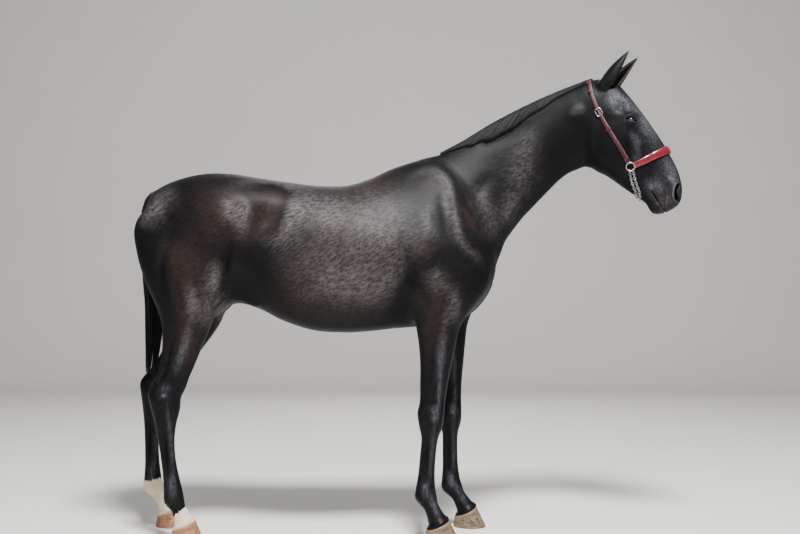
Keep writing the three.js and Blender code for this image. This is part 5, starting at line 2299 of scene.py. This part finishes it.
@dataclass
class FineHair:
    """Lashes, whiskers, and the hair along the edges of the ears."""

    skin: Skin
    lashes: int = 70
    whiskers: int = 26
    fuzz: int = 420
    seed: int = 3

    def build(self) -> None:
        """Makes the dark hairs of the face and the lighter ones of the ears."""
        rng = np.random.default_rng(self.seed)
        dark = [*self.lash_paths(rng), *self.whisker_paths(rng)]
        self.piece("face_hair", dark, 0.7, HAIR, rng)
        self.piece("ear_hair", self.fuzz_paths(rng), 1.8, FUZZ, rng)

    def piece(
        self, name: str, paths: list[Points], width: float, finish: Finish, rng: Dice
    ) -> None:
        """Makes one piece of hairs of the same width.

        Args:
            name: its name.
            paths: five places along each hair.
            width: the width of each.
            finish: what it is made of.
            rng: gives the random numbers.
        """
        lines = np.array(paths)
        out = np.broadcast_to(np.array([0.35, 0.0, 0.94]), lines.shape)
        widths = np.broadcast_to(width * np.array([0.9, 1.0, 0.9, 0.7, 0.15]), lines.shape[:2])
        locks = Locks(lines, out, widths, 0.5)
        roots = self.skin.unwrap[self.skin.nearest(lines[:, 0])]
        mesh = locks.mesh(name, {"tone": rng.uniform(0.1, 0.9, len(lines))}, roots)
        add_piece(name, mesh, finish)

    def lash_paths(self, rng: Dice) -> Iterable[Points]:
        """Lashes along the upper lids.

        Args:
            rng: gives the random numbers.

        Returns:
            Five places along each hair.
        """
        for side in Side:
            for along in rng.uniform(-0.85, 0.85, self.lashes):
                across = 22 * along
                up = EYE.upper * (1 - along**2) + 1.5
                out = math.sqrt(max(16.0, EYE.lid**2 - across**2 - up**2))
                step = np.linspace(0, 1, 5)[:, None]
                length = rng.uniform(10, 16)
                start = np.array([across, up, out - 1])
                way = np.array([0.35 * along, -0.25, 1.0]) * length
                spots = start + way * step + np.array([0, 0.5, -0.1]) * length * step**2
                yield (spots @ EYE.axes + EYE.centre) * [1, side.value, 1]

    def whisker_paths(self, rng: Dice) -> Iterable[Points]:
        """Whiskers on the lips and the chin.

        Args:
            rng: gives the random numbers.

        Returns:
            Five places along each hair.
        """
        x, y, z = self.skin.middles.T
        near = np.flatnonzero((x > 1050) & (z < 1440) & (np.abs(y) > 8) & (x < 1165))
        for face in rng.choice(near, self.whiskers):
            out = self.skin.normals[self.skin.faces[face][0]]
            step = np.linspace(0, 1, 5)[:, None]
            length = rng.uniform(12, 28)
            way = unit(out + rng.normal(0, 0.2, 3) + [0.1, 0, -0.3])
            bent = way * step + np.array([0, 0, -0.25]) * step**2
            yield self.skin.middles[face] + length * bent

    def fuzz_paths(self, rng: Dice) -> list[Points]:
        """Hairs that grow from the edges of the ears over their openings.

        Args:
            rng: gives the random numbers.

        Returns:
            Five places along each hair.
        """
        made = []
        for ear in EARS:
            for _ in range(self.fuzz):
                along, edge = rng.uniform(0.04, 0.9), rng.choice([-1.0, 1.0])
                turn = edge * rng.uniform(0.72, 0.98)
                start = ear.place(along, turn, ear.wall * 0.35)
                length = rng.uniform(9, 20) * (1.1 - 0.6 * along)
                across, out, up = ear.axes
                way = up * 0.75 - across * edge * rng.uniform(0.1, 0.6)
                way = unit(way + out * rng.uniform(0.1, 0.4))
                step = np.linspace(0, 1, 5)[:, None]
                made.append(start + length * (way * step + 0.25 * up * step**2))
        return made


# ---- eyes and hooves


@dataclass
class Eyeball:
    """One wet eye, set deep between the lids."""

    side: Side
    around: int = 56
    along: int = 36
    cornea: float = 2.2  # how far the clear front bulges

    def build(self) -> Piece:
        """Makes the eye, with each point's place in the eye's own directions.

        Returns:
            The piece.
        """
        poles = np.linspace(0, math.pi, self.along + 1)[1:-1]
        turns = full_turn(self.around)
        pole, turn = (grid.ravel() for grid in np.meshgrid(poles, turns, indexing="ij"))
        radius = EYE.ball + self.cornea * np.exp(-((pole / 0.6) ** 2))
        flat = np.sin(pole) * radius
        spots = np.stack([flat * np.cos(turn), flat * np.sin(turn), np.cos(pole) * radius], axis=1)
        faces = tube_faces(self.around, len(poles))
        places = spots @ EYE.axes + EYE.centre
        if self.side is Side.RIGHT:
            places = places * [1, -1, 1]
            faces = [face[::-1] for face in faces]
        name = f"eyeball_{self.side.word}"
        mesh = mesh_of(name, bend_neck(places), outward(places, faces))
        keep(mesh, "spot", spots)
        return add_piece(name, mesh, EYEBALL, [f"eye_{self.side.word}"])


@dataclass
class Hoof:
    """One hoof: a wall with rings of growth on a flat sole with a frog."""

    leg: LegPose
    around: int = 72
    down: int = 30
    inside: int = 5  # rings of the closing faces above and below

    def build(self) -> Piece:
        """Makes the hoof with its own directions, down the wall and around it.

        Returns:
            The piece.
        """
        hoof = self.leg.hoof
        coronet, sole = hoof.coronet, hoof.sole
        x, _, y = self.leg.joints[4]
        levels = [(0.0, (i + 1) / (self.inside + 1)) for i in range(self.inside)]
        levels += [(i / self.down, 1.0) for i in range(self.down + 1)]
        levels += [(1.0, 1 - (i + 1) / (self.inside + 1)) for i in range(self.inside)]
        down = np.repeat([level[0] for level in levels], self.around)
        radius = np.repeat([level[1] for level in levels], self.around)
        angle = np.tile(full_turn(self.around), len(levels))
        toe = (1 + radius * np.cos(angle)) / 2
        height = lerp(hoof.heel, hoof.toe, toe) * (1 - down)
        rings = 0.4 * np.sin(down * 46 + 0.7 * np.sin(angle * 2)) + 0.4 * np.sin(down * 19 + angle)
        band = 1.4 * np.exp(-(((down - 0.07) / 0.06) ** 2)) - 3.5 * ease(0.06, 0.0, down)
        edge = -1.4 * ease(0.94, 1.0, down)
        swell = 1 + (rings * ease(0.06, 0.2, down) + band + edge) * (radius == 1) / 60
        long = lerp(coronet[0], sole[0], down) / 2 * radius * swell
        narrow = lerp(HEEL_WIDTH, 1, np.minimum(1, 1.6 * toe))
        wide = lerp(coronet[1], sole[1], down) / 2 * radius * narrow * swell
        cleft = ease(0.5, 0.2, np.abs(np.sin(angle) * radius) * 3) * (np.cos(angle) < 0.2)
        hollow = 5 * ease(1.0, 0.75, radius) * (1 - cleft)
        height = height + np.where((down == 1.0) & (radius < 1), hollow, 0)
        forward = x + hoof.slant * down + long * np.cos(angle)
        across = self.leg.side.value * y + wide * np.sin(angle)
        places = np.stack([forward, across, height], axis=1)
        name = f"{self.leg.name}_horn"
        mesh = mesh_of(name, places, outward(places, tube_faces(self.around, len(levels))))
        keep(mesh, "down", down)
        keep(mesh, "around", np.abs(angle - math.pi))
        finish = RED_HORN if self.leg.is_hind else HORN
        return add_piece(name, mesh, finish, [f"{self.leg.name}_hoof"])


# ---- mane and tail


@dataclass
class Mane:
    """Smooth locks that sweep back from the crest over the right side of the neck."""

    skin: Skin
    count: int = 2800
    steps: int = 8
    start: float = 0.19
    end: float = 0.9
    depth: Sequence[tuple[float, float]] = (
        (150, 4), (230, 30), (319, 56), (391, 74), (465, 86), (560, 70), (640, 52), (740, 30),
        (860, 14),
    )
    sweep: float = 1.05  # how far a lock runs back for each step down
    seed: int = 5

    def build(self) -> Piece:
        """Makes the mane.

        Returns:
            The piece.
        """
        rng = np.random.default_rng(self.seed)
        tops = np.array([[numbers[0], 0.0, numbers[1]] for numbers in NECK.values()])
        place = rng.uniform(self.start, self.end, self.count)
        layer = rng.uniform(0, 1, self.count)
        crest = spline(tops, place)
        fall = np.interp(crest[:, 0] - 40, *np.transpose(self.depth))
        fall = fall * (0.95 + rng.normal(0, 0.045, self.count) + 0.05 * np.sin(crest[:, 0] / 17))
        first = rng.uniform(-0.15, 0.3, self.count)
        over = first[:, None] + (1.0 - first[:, None]) * np.linspace(0, 1, self.steps)
        drop = fall[:, None] * np.maximum(over, 0) ** 1.35
        ahead = crest[:, 0, None] - self.sweep * drop + rng.normal(0, 3, self.count)[:, None] * over
        ridge = np.interp(ahead, tops[:, 0], tops[:, 2])
        across = lerp(14.0, -14.0, np.clip(over / 0.3, 0, 1)) - 46 * np.clip(over - 0.3, 0, 1)
        across = across * np.maximum(0.5, fall / 90)[:, None]
        guess = np.stack([ahead, across, ridge - drop], axis=2)
        deep = 1.5 + (1 - layer[:, None]) * (8.5 - 6.8 * np.clip(over, 0, 1))
        flat = guess.reshape(-1, 3)
        out = self.skin.flesh.normals(flat)
        for _ in range(3):
            off = self.skin.flesh.distance(flat) - deep.ravel()
            flat = flat - np.clip(off, -25, 25)[:, None] * out
        out = self.skin.flesh.normals(flat).reshape(guess.shape)
        paths = flat.reshape(guess.shape)
        taper = np.interp(np.linspace(0, 1, self.steps), [0, 0.2, 0.7, 1], [0.5, 1, 0.9, 0.15])
        width = rng.uniform(3.0, 6.5, self.count)[:, None] * taper
        locks = Locks(paths, out, width, 0.3)
        roots = self.skin.unwrap[self.skin.nearest(paths[:, 0])]
        tone = rng.beta(1.6, 2.4, self.count)
        mesh = locks.mesh("mane_locks", {"tone": tone}, roots)
        return add_piece("mane_locks", mesh, HAIR, ["mane"])


TAIL = {
    "root": (-1060, 1500, -1050, 1430, 24),
    "dock": (-1118, 1472, -1080, 1400, 30),
    "fold": (-1148, 1410, -1090, 1370, 34),
    "upper": (-1156, 1300, -1084, 1290, 36),
    "hair": (-1146, 1140, -1074, 1140, 42),
    "fall": (-1132, 980, -1052, 980, 44),
    "thin": (-1130, 820, -1056, 820, 36),
    "tip": (-1126, 690, -1082, 690, 24),
}


@dataclass
class Tail:
    """Long strands that fall from the dock, sparse towards their ends."""

    skin: Skin
    count: int = 1500
    steps: int = 12
    seed: int = 8

    def build(self) -> Piece:
        """Makes the tail.

        Returns:
            The piece of the strands.
        """
        rng = np.random.default_rng(self.seed)
        rows = [numbers[:5] for numbers in TAIL.values()]
        start = rng.uniform(0.0, 0.42, self.count)
        end = np.clip(start + rng.uniform(0.4, 1.0, self.count), 0.5, 1.0)
        end = np.where(rng.uniform(0, 1, self.count) < 0.4, rng.uniform(0.85, 1.0, self.count), end)
        turn = rng.uniform(0, 2 * math.pi, self.count)
        deep = np.sqrt(rng.uniform(0.25, 1.0, self.count))
        clump = np.round(turn * 4) / 4
        at = lerp(start[:, None], end[:, None], np.linspace(0, 1, self.steps)[None])
        ring = spline(rows, at.ravel()).reshape(self.count, self.steps, 5)
        middle = (ring[..., 0:2] + ring[..., 2:4]) / 2
        rise = (ring[..., 0:2] - ring[..., 2:4]) / 2
        towards = lerp(turn[:, None], clump[:, None], ease(0.3, 1.0, at) * 0.7)
        wave = 0.06 * np.sin(at * 14 + 6 * turn[:, None])
        reach = 0.93 * deep[:, None] * (1 + wave)
        up, side = np.cos(towards) * reach, np.sin(towards) * reach * ring[..., 4]
        paths = np.stack(
            [middle[..., 0] + rise[..., 0] * up, side, middle[..., 1] + rise[..., 1] * up], axis=2
        )
        out = unit(paths - np.stack([middle[..., 0], 0 * side, middle[..., 1]], axis=2) + 1e-3)
        taper = np.interp(np.linspace(0, 1, self.steps), [0, 0.1, 0.7, 1], [0.4, 1, 0.9, 0.1])
        width = rng.uniform(2.5, 5.5, self.count)[:, None] * taper
        locks = Locks(paths, out, width, 0.35)
        roots = self.skin.unwrap[self.skin.nearest(paths[:, 0])]
        mesh = locks.mesh("tail_strands", {"tone": rng.beta(1.2, 3, self.count)}, roots)
        core = self.core()
        add_piece("tail_core", core, TAIL_HAIR)
        return add_piece("tail_strands", mesh, TAIL_HAIR, ["tail"])

    def core(self, around: int = 24, along: int = 40, share: float = 0.62) -> Mesh:
        """The bony dock and the dense hair inside the tail.

        Args:
            around: points in a ring.
            along: how many rings.
            share: its thickness as a share of the tail's.

        Returns:
            Its mesh.
        """
        at = np.linspace(0.02, 0.86, along)
        ring = spline([numbers[:5] for numbers in TAIL.values()], at)
        middle, rise = (ring[:, 0:2] + ring[:, 2:4]) / 2, (ring[:, 0:2] - ring[:, 2:4]) / 2
        turn = full_turn(around)
        small = share * np.where(at > 0.6, 1 - 0.8 * (at - 0.6) / 0.26, 1)[:, None]
        ridge = 1 + 0.07 * np.sin(9 * turn)[None]
        up, side = np.cos(turn)[None] * small * ridge, np.sin(turn)[None] * small * ridge
        places = np.stack(
            [
                middle[:, :1] + rise[:, :1] * up,
                side * ring[:, 4:5],
                middle[:, 1:] + rise[:, 1:] * up,
            ],
            axis=2,
        ).reshape(-1, 3)
        mesh = mesh_of("tail_core", places, outward(places, tube_faces(around, along)))
        keep(mesh, "tone", np.full(len(places), 0.15))
        lay_out(mesh, np.stack([np.tile(turn / 7, along), np.repeat(at, around)], axis=1))
        keep(mesh, "along", np.repeat(at, around) * 0.7)
        return mesh


# ---- head collar


class Repeat:
    """A Geometry Nodes tree that sets a small shape along a path, with named inputs."""

    def __init__(self, name: str, sizes: dict[str, float]) -> None:
        """Starts the tree.

        Args:
            name: the tree's name.
            sizes: its inputs, with their usual values in metres.
        """
        self.tree = bpy.data.node_groups.new(name, "GeometryNodeTree")
        face = self.tree.interface
        face.new_socket("Path", in_out="INPUT", socket_type="NodeSocketGeometry")
        for key, value in sizes.items():
            socket = face.new_socket(key, in_out="INPUT", socket_type="NodeSocketFloat")
            socket.default_value = value
        face.new_socket("Pieces", in_out="OUTPUT", socket_type="NodeSocketGeometry")
        self.inputs = self.tree.nodes.new("NodeGroupInput").outputs

    def node(self, kind: str, settings: dict[str, Any], values: dict[Any, Any]) -> Any:
        """Adds a node; each value is a plain one or the output it is linked to.

        Args:
            kind: the node's type.
            settings: its options, which are set first.
            values: what each of its sockets gets.

        Returns:
            The node's outputs.
        """
        made = self.tree.nodes.new(kind)
        for key, value in settings.items():
            setattr(made, key, value)
        for key, value in values.items():
            if isinstance(value, bpy.types.NodeSocket):
                self.tree.links.new(value, made.inputs[key])
            else:
                made.inputs[key].default_value = value
        return made.outputs

    def along(self, shape: Any, spacing: Any, quarter_turns: bool, finish: Finish) -> None:
        """Sets a shape along the path, every second one turned about it if wished.

        Args:
            shape: the shape.
            spacing: how far apart it is set.
            quarter_turns: whether every second one is turned.
            finish: what it is made of.
        """
        curve = self.node("GeometryNodeMeshToCurve", {}, {"Mesh": self.inputs["Path"]})
        spots = self.node(
            "GeometryNodeCurveToPoints", {"mode": "LENGTH"}, {"Curve": curve[0], "Length": spacing}
        )
        turn = self.node(
            "FunctionNodeAlignRotationToVector", {"axis": "Z"}, {"Vector": spots["Tangent"]}
        )
        if quarter_turns:
            index = self.node("GeometryNodeInputIndex", {}, {})
            odd = self.node("ShaderNodeMath", {"operation": "MODULO"}, {0: index[0], 1: 2.0})
            values = {0: odd[0], 1: math.pi / 2}
            angle = self.node("ShaderNodeMath", {"operation": "MULTIPLY"}, values)
            spin = self.node("ShaderNodeCombineXYZ", {}, {2: angle[0]})
            spin = self.node("FunctionNodeEulerToRotation", {}, {0: spin[0]})
            turn = self.node(
                "FunctionNodeRotateRotation",
                {"rotation_space": "LOCAL"},
                {"Rotation": turn[0], "Rotate By": spin[0]},
            )
        placed = self.node(
            "GeometryNodeInstanceOnPoints",
            {},
            {"Points": spots["Points"], "Instance": shape, "Rotation": turn[0]},
        )
        real = self.node("GeometryNodeRealizeInstances", {}, {"Geometry": placed[0]})
        done = self.node(
            "GeometryNodeSetMaterial", {}, {"Geometry": real[0], "Material": finish.material()}
        )
        out = self.tree.nodes.new("NodeGroupOutput")
        self.tree.links.new(done[0], out.inputs[0])

    def mesh(self, name: str, paths: Sequence[Points], sizes: dict[str, float]) -> Mesh:
        """Runs the tree over paths.

        Args:
            name: the mesh's name.
            paths: the paths, in millimetres.
            sizes: values for its named inputs, in metres.

        Returns:
            A plain mesh.
        """
        points, edges = [], []
        for path in paths:
            edges += [(len(points) + i, len(points) + i + 1) for i in range(len(path) - 1)]
            points += (bend_neck(path) * MM).tolist()
        wire = bpy.data.meshes.new(name)
        wire.from_pydata(points, edges, [])
        holder = put_in_scene(name, wire)
        modifier = holder.modifiers.new("repeat", "NODES")
        modifier.node_group = self.tree
        for item in self.tree.interface.items_tree:
            if item.name in sizes:
                modifier[item.identifier] = sizes[item.name]
        seen = bpy.context.evaluated_depsgraph_get()
        made = bpy.data.meshes.new_from_object(holder.evaluated_get(seen))
        holder.modifiers.remove(modifier)
        bpy.data.objects.remove(holder)
        made.polygons.foreach_set("use_smooth", np.full(len(made.polygons), True))
        return made


@dataclass
class HeadCollar:
    """The red leather head collar with its steel rings, buckles and curb chain."""

    flesh: Flesh
    cheek: Sequence[Triple] = (
        (972, 70, 1577), (934, 80, 1650), (890, 80, 1728), (849, 75, 1802), (822, 62, 1872),
        (808, 42, 1935),
    )
    crown: Triple = (804, 0, 1962)
    nose: Sequence[Triple] = ((988, 70, 1568), (1035, 64, 1590), (1085, 52, 1616), (1118, 30, 1634))
    bridge: Triple = (1132, 0, 1640)
    chain: Sequence[Triple] = ((982, 76, 1545), (990, 66, 1500), (1003, 44, 1457))
    chin: Triple = (1008, 0, 1434)
    strap_width: float = 18.5
    strap_thick: float = 4.5
    nose_width: float = 24.0
    roll_width: float = 38.0
    roll_thick: float = 11.0
    ring: Triple = (979, 84, 1563)
    buckle: Triple = (849, 79, 1802)
    lie: float = 1.8  # how far above the skin the leather lies
    STEPS: ClassVar[int] = 220  # places along a strap
    # the leather's cut end, as shares of its width and its thickness
    PROFILE: ClassVar[Sequence[tuple[float, float]]] = (
        (-0.5, 0.12), (-0.49, 0.45), (-0.42, 0.72), (-0.27, 0.92), (0, 1.0), (0.27, 0.92),
        (0.42, 0.72), (0.49, 0.45), (0.5, 0.12), (0.4, 0.0), (0, 0.0), (-0.4, 0.0),
    )
    STITCH: ClassVar[dict[str, float]] = {"Stitch": 0.0042, "Thread": 0.0008, "Spacing": 0.0060}
    LINK: ClassVar[dict[str, float]] = {"Link": 0.0082, "Wire": 0.0016, "Spacing": 0.0108}

    def onto(self, points: Points, height: float) -> tuple[Points, Points]:
        """Moves points to a height above the skin, and gives the way out of it there.

        Args:
            points: the places, one row each.
            height: how far above the skin they lie.

        Returns:
            The moved points, and the way out of the skin at each.
        """
        out = self.flesh.normals(points, 3.0)
        for _ in range(4):
            off = self.flesh.bare(points) - height
            points = points - np.clip(off, -20, 20)[:, None] * out
            out = self.flesh.normals(points, 3.0)
        lift = self.flesh.lift(points, out) - self.flesh.COAT
        return points + lift[:, None] * out, out

    def along(self, path: Points, height: float) -> tuple[Points, Points, Points]:
        """Lays a path on the skin.

        Args:
            path: the path.
            height: how far above the skin it lies.

        Returns:
            The laid path, the ways across it and the ways out of the skin.
        """
        path, out = self.onto(path, height)
        return path, unit(np.cross(out, unit(np.gradient(path, axis=0)))), out

    @staticmethod
    def round(half: Sequence[Triple], middle: Triple) -> list[Triple]:
        """A path from the left, over the middle, to the right."""
        return [*half, middle, *[(x, -y, z) for x, y, z in half[::-1]]]

    def band(self, path: Points, width: Values, thick: Values, height: float) -> Solid:
        """A strip of leather along a path on the skin.

        Args:
            path: its middle line.
            width: its width at each place.
            thick: its thickness at each place.
            height: how far above the skin it lies.

        Returns:
            Its points and faces.
        """
        path, across, out = self.along(path, height)
        return tube([
            path + across * (side * width)[:, None] + out * (rise * thick)[:, None]
            for side, rise in self.PROFILE
        ])

    def hoop(
        self, at: Triple, side: Side, radius: float, wire: float, stretch: float = 1.0
    ) -> Solid:
        """Points and faces of a steel ring or frame that lies on the leather.

        Args:
            at: its middle, on the left side.
            side: the side of the horse.
            radius: its radius.
            wire: half the thickness of its wire.
            stretch: how many times longer than wide; a stretched one is a square frame.

        Returns:
            Its points and faces.
        """
        middle, out = self.onto(np.array([[at[0], at[1] * side.value, at[2]]]), self.lie + 6)
        out = out[0]
        long = unit(np.array([0.5, 0.0, -0.87]) - out * (out @ [0.5, 0.0, -0.87]))
        wide = np.cross(out, long)
        turns = full_turn(56)
        square = 4.0 if stretch > 1 else 2.0
        reach = (np.abs(np.cos(turns)) ** square + np.abs(np.sin(turns)) ** square) ** (-1 / square)
        flat = radius * reach[:, None] * (
            np.cos(turns)[:, None] * long * stretch + np.sin(turns)[:, None] * wide
        )
        outwards = unit(flat)
        ways = [math.cos(a) * outwards + math.sin(a) * out for a in full_turn(12)]
        return tube([middle + flat + wire * way for way in ways], True)

    def build(self) -> None:
        """Makes the straps, the metal and the stitching."""
        steps = np.linspace(0, 1, self.STEPS)
        crown = spline(self.round(self.cheek, self.crown), steps)
        nose = spline(self.round(self.nose, self.bridge), steps)
        middle = np.abs(2 * steps - 1)
        width = np.full(self.STEPS, self.strap_width)
        thick = np.full(self.STEPS, self.strap_thick)
        leather = [self.band(crown, width, thick, self.lie)]
        width = lerp(self.roll_width, self.nose_width, middle**1.5)
        thick = lerp(self.roll_thick, self.strap_thick, middle**1.5)
        roll = self.band(nose, width, thick, self.lie)
        for side in Side:
            leather += self.keepers(crown if side is Side.LEFT else crown[::-1])
        self.join("halter_straps", leather, LEATHER, ["halter_crown"])
        self.join("halter_noseband_roll", [roll], PATENT, ["halter_noseband"])
        for side in Side:
            ring = self.hoop(self.ring, side, 18, 2.5)
            self.join(f"halter_ring_steel_{side.word}", [ring], METAL, [f"halter_ring_{side.word}"])
            frame_bar = self.hoop(self.buckle, side, 13, 2.0, 1.25)
            name = f"halter_buckle_steel_{side.word}"
            self.join(name, [frame_bar, self.prong(side)], METAL, [f"halter_buckle_{side.word}"])
        self.stitching(crown)
        self.curb()

    def prong(self, side: Side) -> Solid:
        """The buckle's tongue.

        Args:
            side: the side of the horse.

        Returns:
            Its points and faces.
        """
        x, y, z = self.buckle
        path = np.array([(x + 9 * t, y * side.value, z - 17 * t) for t in np.linspace(-1, 1, 12)])
        path, across, out = self.along(path, self.lie + 8)
        ways = [math.cos(a) * across + math.sin(a) * out for a in full_turn(8)]
        return tube([path + 1.4 * way for way in ways])

    def keepers(self, strap: Points) -> list[Solid]:
        """The loops round the strap beside the ring and the buckle, and its free end.

        Args:
            strap: the strap's middle line, from its ring up.

        Returns:
            The points and faces of each.
        """
        made = []
        for at, length in ((4, 12), (34, 8), (78, 8), (92, 8)):
            piece = strap[at : at + 2 + length // 4]
            piece = spline(piece, np.linspace(0, 1, 10))
            wide = np.full(10, self.strap_width + 5.0)
            made.append(self.band(piece, wide, np.full(10, 3.0), self.lie + self.strap_thick - 0.6))
        return made

    @staticmethod
    def join(name: str, parts: list, finish: Finish, replaced: Sequence[str]) -> Piece:
        """Makes one piece of several closed shapes.

        Args:
            name: its name.
            parts: the shapes.
            finish: what it is made of.
            replaced: the solids that it stands for.

        Returns:
            The piece.
        """
        points, faces, start = [], [], 0
        for spots, sides in parts:
            points.append(spots)
            faces += [[start + i for i in face] for face in sides]
            start += len(spots)
        mesh = mesh_of(name, bend_neck(np.vstack(points)), faces)
        return add_piece(name, mesh, finish, replaced)

    def stitching(self, crown: Points) -> None:
        """Sews a row of stitches along the front edge of the straps.

        Args:
            crown: the straps' middle line.
        """
        stitches = Repeat("stitches", self.STITCH)
        size = stitches.inputs
        thread = stitches.node(
            "GeometryNodeMeshCylinder",
            {"fill_type": "TRIANGLE_FAN"},
            {"Vertices": 5, "Radius": size["Thread"], "Depth": size["Stitch"]},
        )
        stitches.along(thread["Mesh"], size["Spacing"], False, THREAD)
        path, across, _ = self.along(crown, self.lie + self.strap_thick)
        row = path + across * np.full(len(crown), 0.36 * self.strap_width)[:, None]
        mesh = stitches.mesh("halter_stitches", [row], {"Spacing": self.STITCH["Spacing"]})
        add_piece("halter_stitches", mesh, THREAD)

    def curb(self) -> None:
        """The double curb chain under the chin."""
        links = Repeat("links", self.LINK)
        kind, size = "GeometryNodeCurvePrimitiveCircle", links.inputs
        circle = links.node(kind, {}, {"Resolution": 12, "Radius": size["Link"]})
        wire = links.node(kind, {}, {"Resolution": 6, "Radius": size["Wire"]})
        curves = {"Curve": circle["Curve"], "Profile Curve": wire["Curve"]}
        link = links.node("GeometryNodeCurveToMesh", {}, curves)
        stood = links.node(
            "GeometryNodeTransform",
            {},
            {"Geometry": link[0], "Rotation": (math.pi / 2, 0, 0), "Scale": (0.62, 1.0, 1.0)},
        )
        links.along(stood[0], size["Spacing"], True, METAL)
        path = spline(self.round(self.chain, self.chin), np.linspace(0, 1, 120))
        path, across, _ = self.along(path, self.lie + 4)
        strands = [path + beside * across for beside in (7.6, -7.6)]
        mesh = links.mesh("halter_curb", strands, {"Spacing": self.LINK["Spacing"]})
        add_piece("halter_curb", mesh, METAL, ["halter_chain"])


# ---- studio


@dataclass
class Studio:
    """A pale floor and backdrop, soft lights and the camera."""

    camera_at: Triple = (-0.02, -4.2, 0.962)
    pitch: float = math.radians(92.56)
    focal: float = 43.335
    wall: float = 7.5  # how far behind the horse the backdrop starts to rise
    curve: float = 1.5  # radius of the backdrop's turn from the floor

    def build(self) -> None:
        """Makes the studio."""
        profile = [(-12.0, 0.0), (self.wall, 0.0)]
        for i in range(13):
            a = math.pi / 2 * i / 12
            profile.append((self.wall + self.curve * math.sin(a), self.curve * (1 - math.cos(a))))
        profile.append((self.wall + self.curve, 9.0))
        points = [(x, y, z) for x in (-16.0, 16.0) for y, z in profile]
        n = len(profile)
        faces = [(i, n + i, n + i + 1, i + 1) for i in range(n - 1)]
        mesh = bpy.data.meshes.new("studio_floor")
        mesh.from_pydata(points, [], faces)
        mesh.polygons.foreach_set("use_smooth", np.full(len(mesh.polygons), True))
        mesh.materials.append(FLOOR.material())
        floor = put_in_scene("studio_floor", mesh)
        floor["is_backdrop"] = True
        self.lamp("key", (0.6, -3.3, 6.2), (0, 0, 1.1), 1.3, 1250)
        self.lamp("fill", (-3.0, -4.6, 2.4), (0, 0, 1.2), 3.0, 60)
        self.lamp("back", (0.0, 5.5, 4.0), (0, 0, 1.2), 3.5, 120)
        world = bpy.data.worlds.new("studio_air")
        world.use_nodes = True
        sky = world.node_tree.nodes["Background"]
        sky.inputs["Color"].default_value = (0.93, 0.96, 1.0, 1.0)
        sky.inputs["Strength"].default_value = 0.27
        bpy.context.scene.world = world
        lens = bpy.data.cameras.new("camera")
        lens.sensor_width = 36.0
        lens.lens = self.focal
        camera = put_in_scene("camera", lens)
        camera.location = self.camera_at
        camera.rotation_euler = (self.pitch, 0.0, 0.0)
        bpy.context.scene.camera = camera

    @staticmethod
    def lamp(name: str, at: Triple, towards: Triple, size: float, power: float) -> None:
        """Adds a soft square lamp.

        Args:
            name: its name.
            at: where it hangs.
            towards: where it shines.
            size: its edge.
            power: in watts.
        """
        light = bpy.data.lights.new(name, "AREA")
        light.size, light.energy = size, power
        lamp = put_in_scene(name, light)
        lamp.location = at
        lamp.rotation_euler = (Vector(at) - Vector(towards)).to_track_quat("Z", "Y").to_euler()


def main() -> None:
    """Builds the horse and its studio."""
    logging.basicConfig(level=logging.INFO, format="%(name)s: %(message)s")
    Studio().build()
    skin = Skin()
    skin.build()
    CoatTufts(skin).build()
    FineHair(skin).build()
    for side in Side:
        Eyeball(side).build()
    for leg in LEGS:
        Hoof(leg).build()
    Mane(skin).build()
    Tail(skin).build()
    HeadCollar(skin.flesh).build()
    boxes = {"cad": CAD_BOX, "visual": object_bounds()}
    {key: [list(map(float, c)) for c in box] for key, box in boxes.items()}


if __name__ == "__main__":
    main()
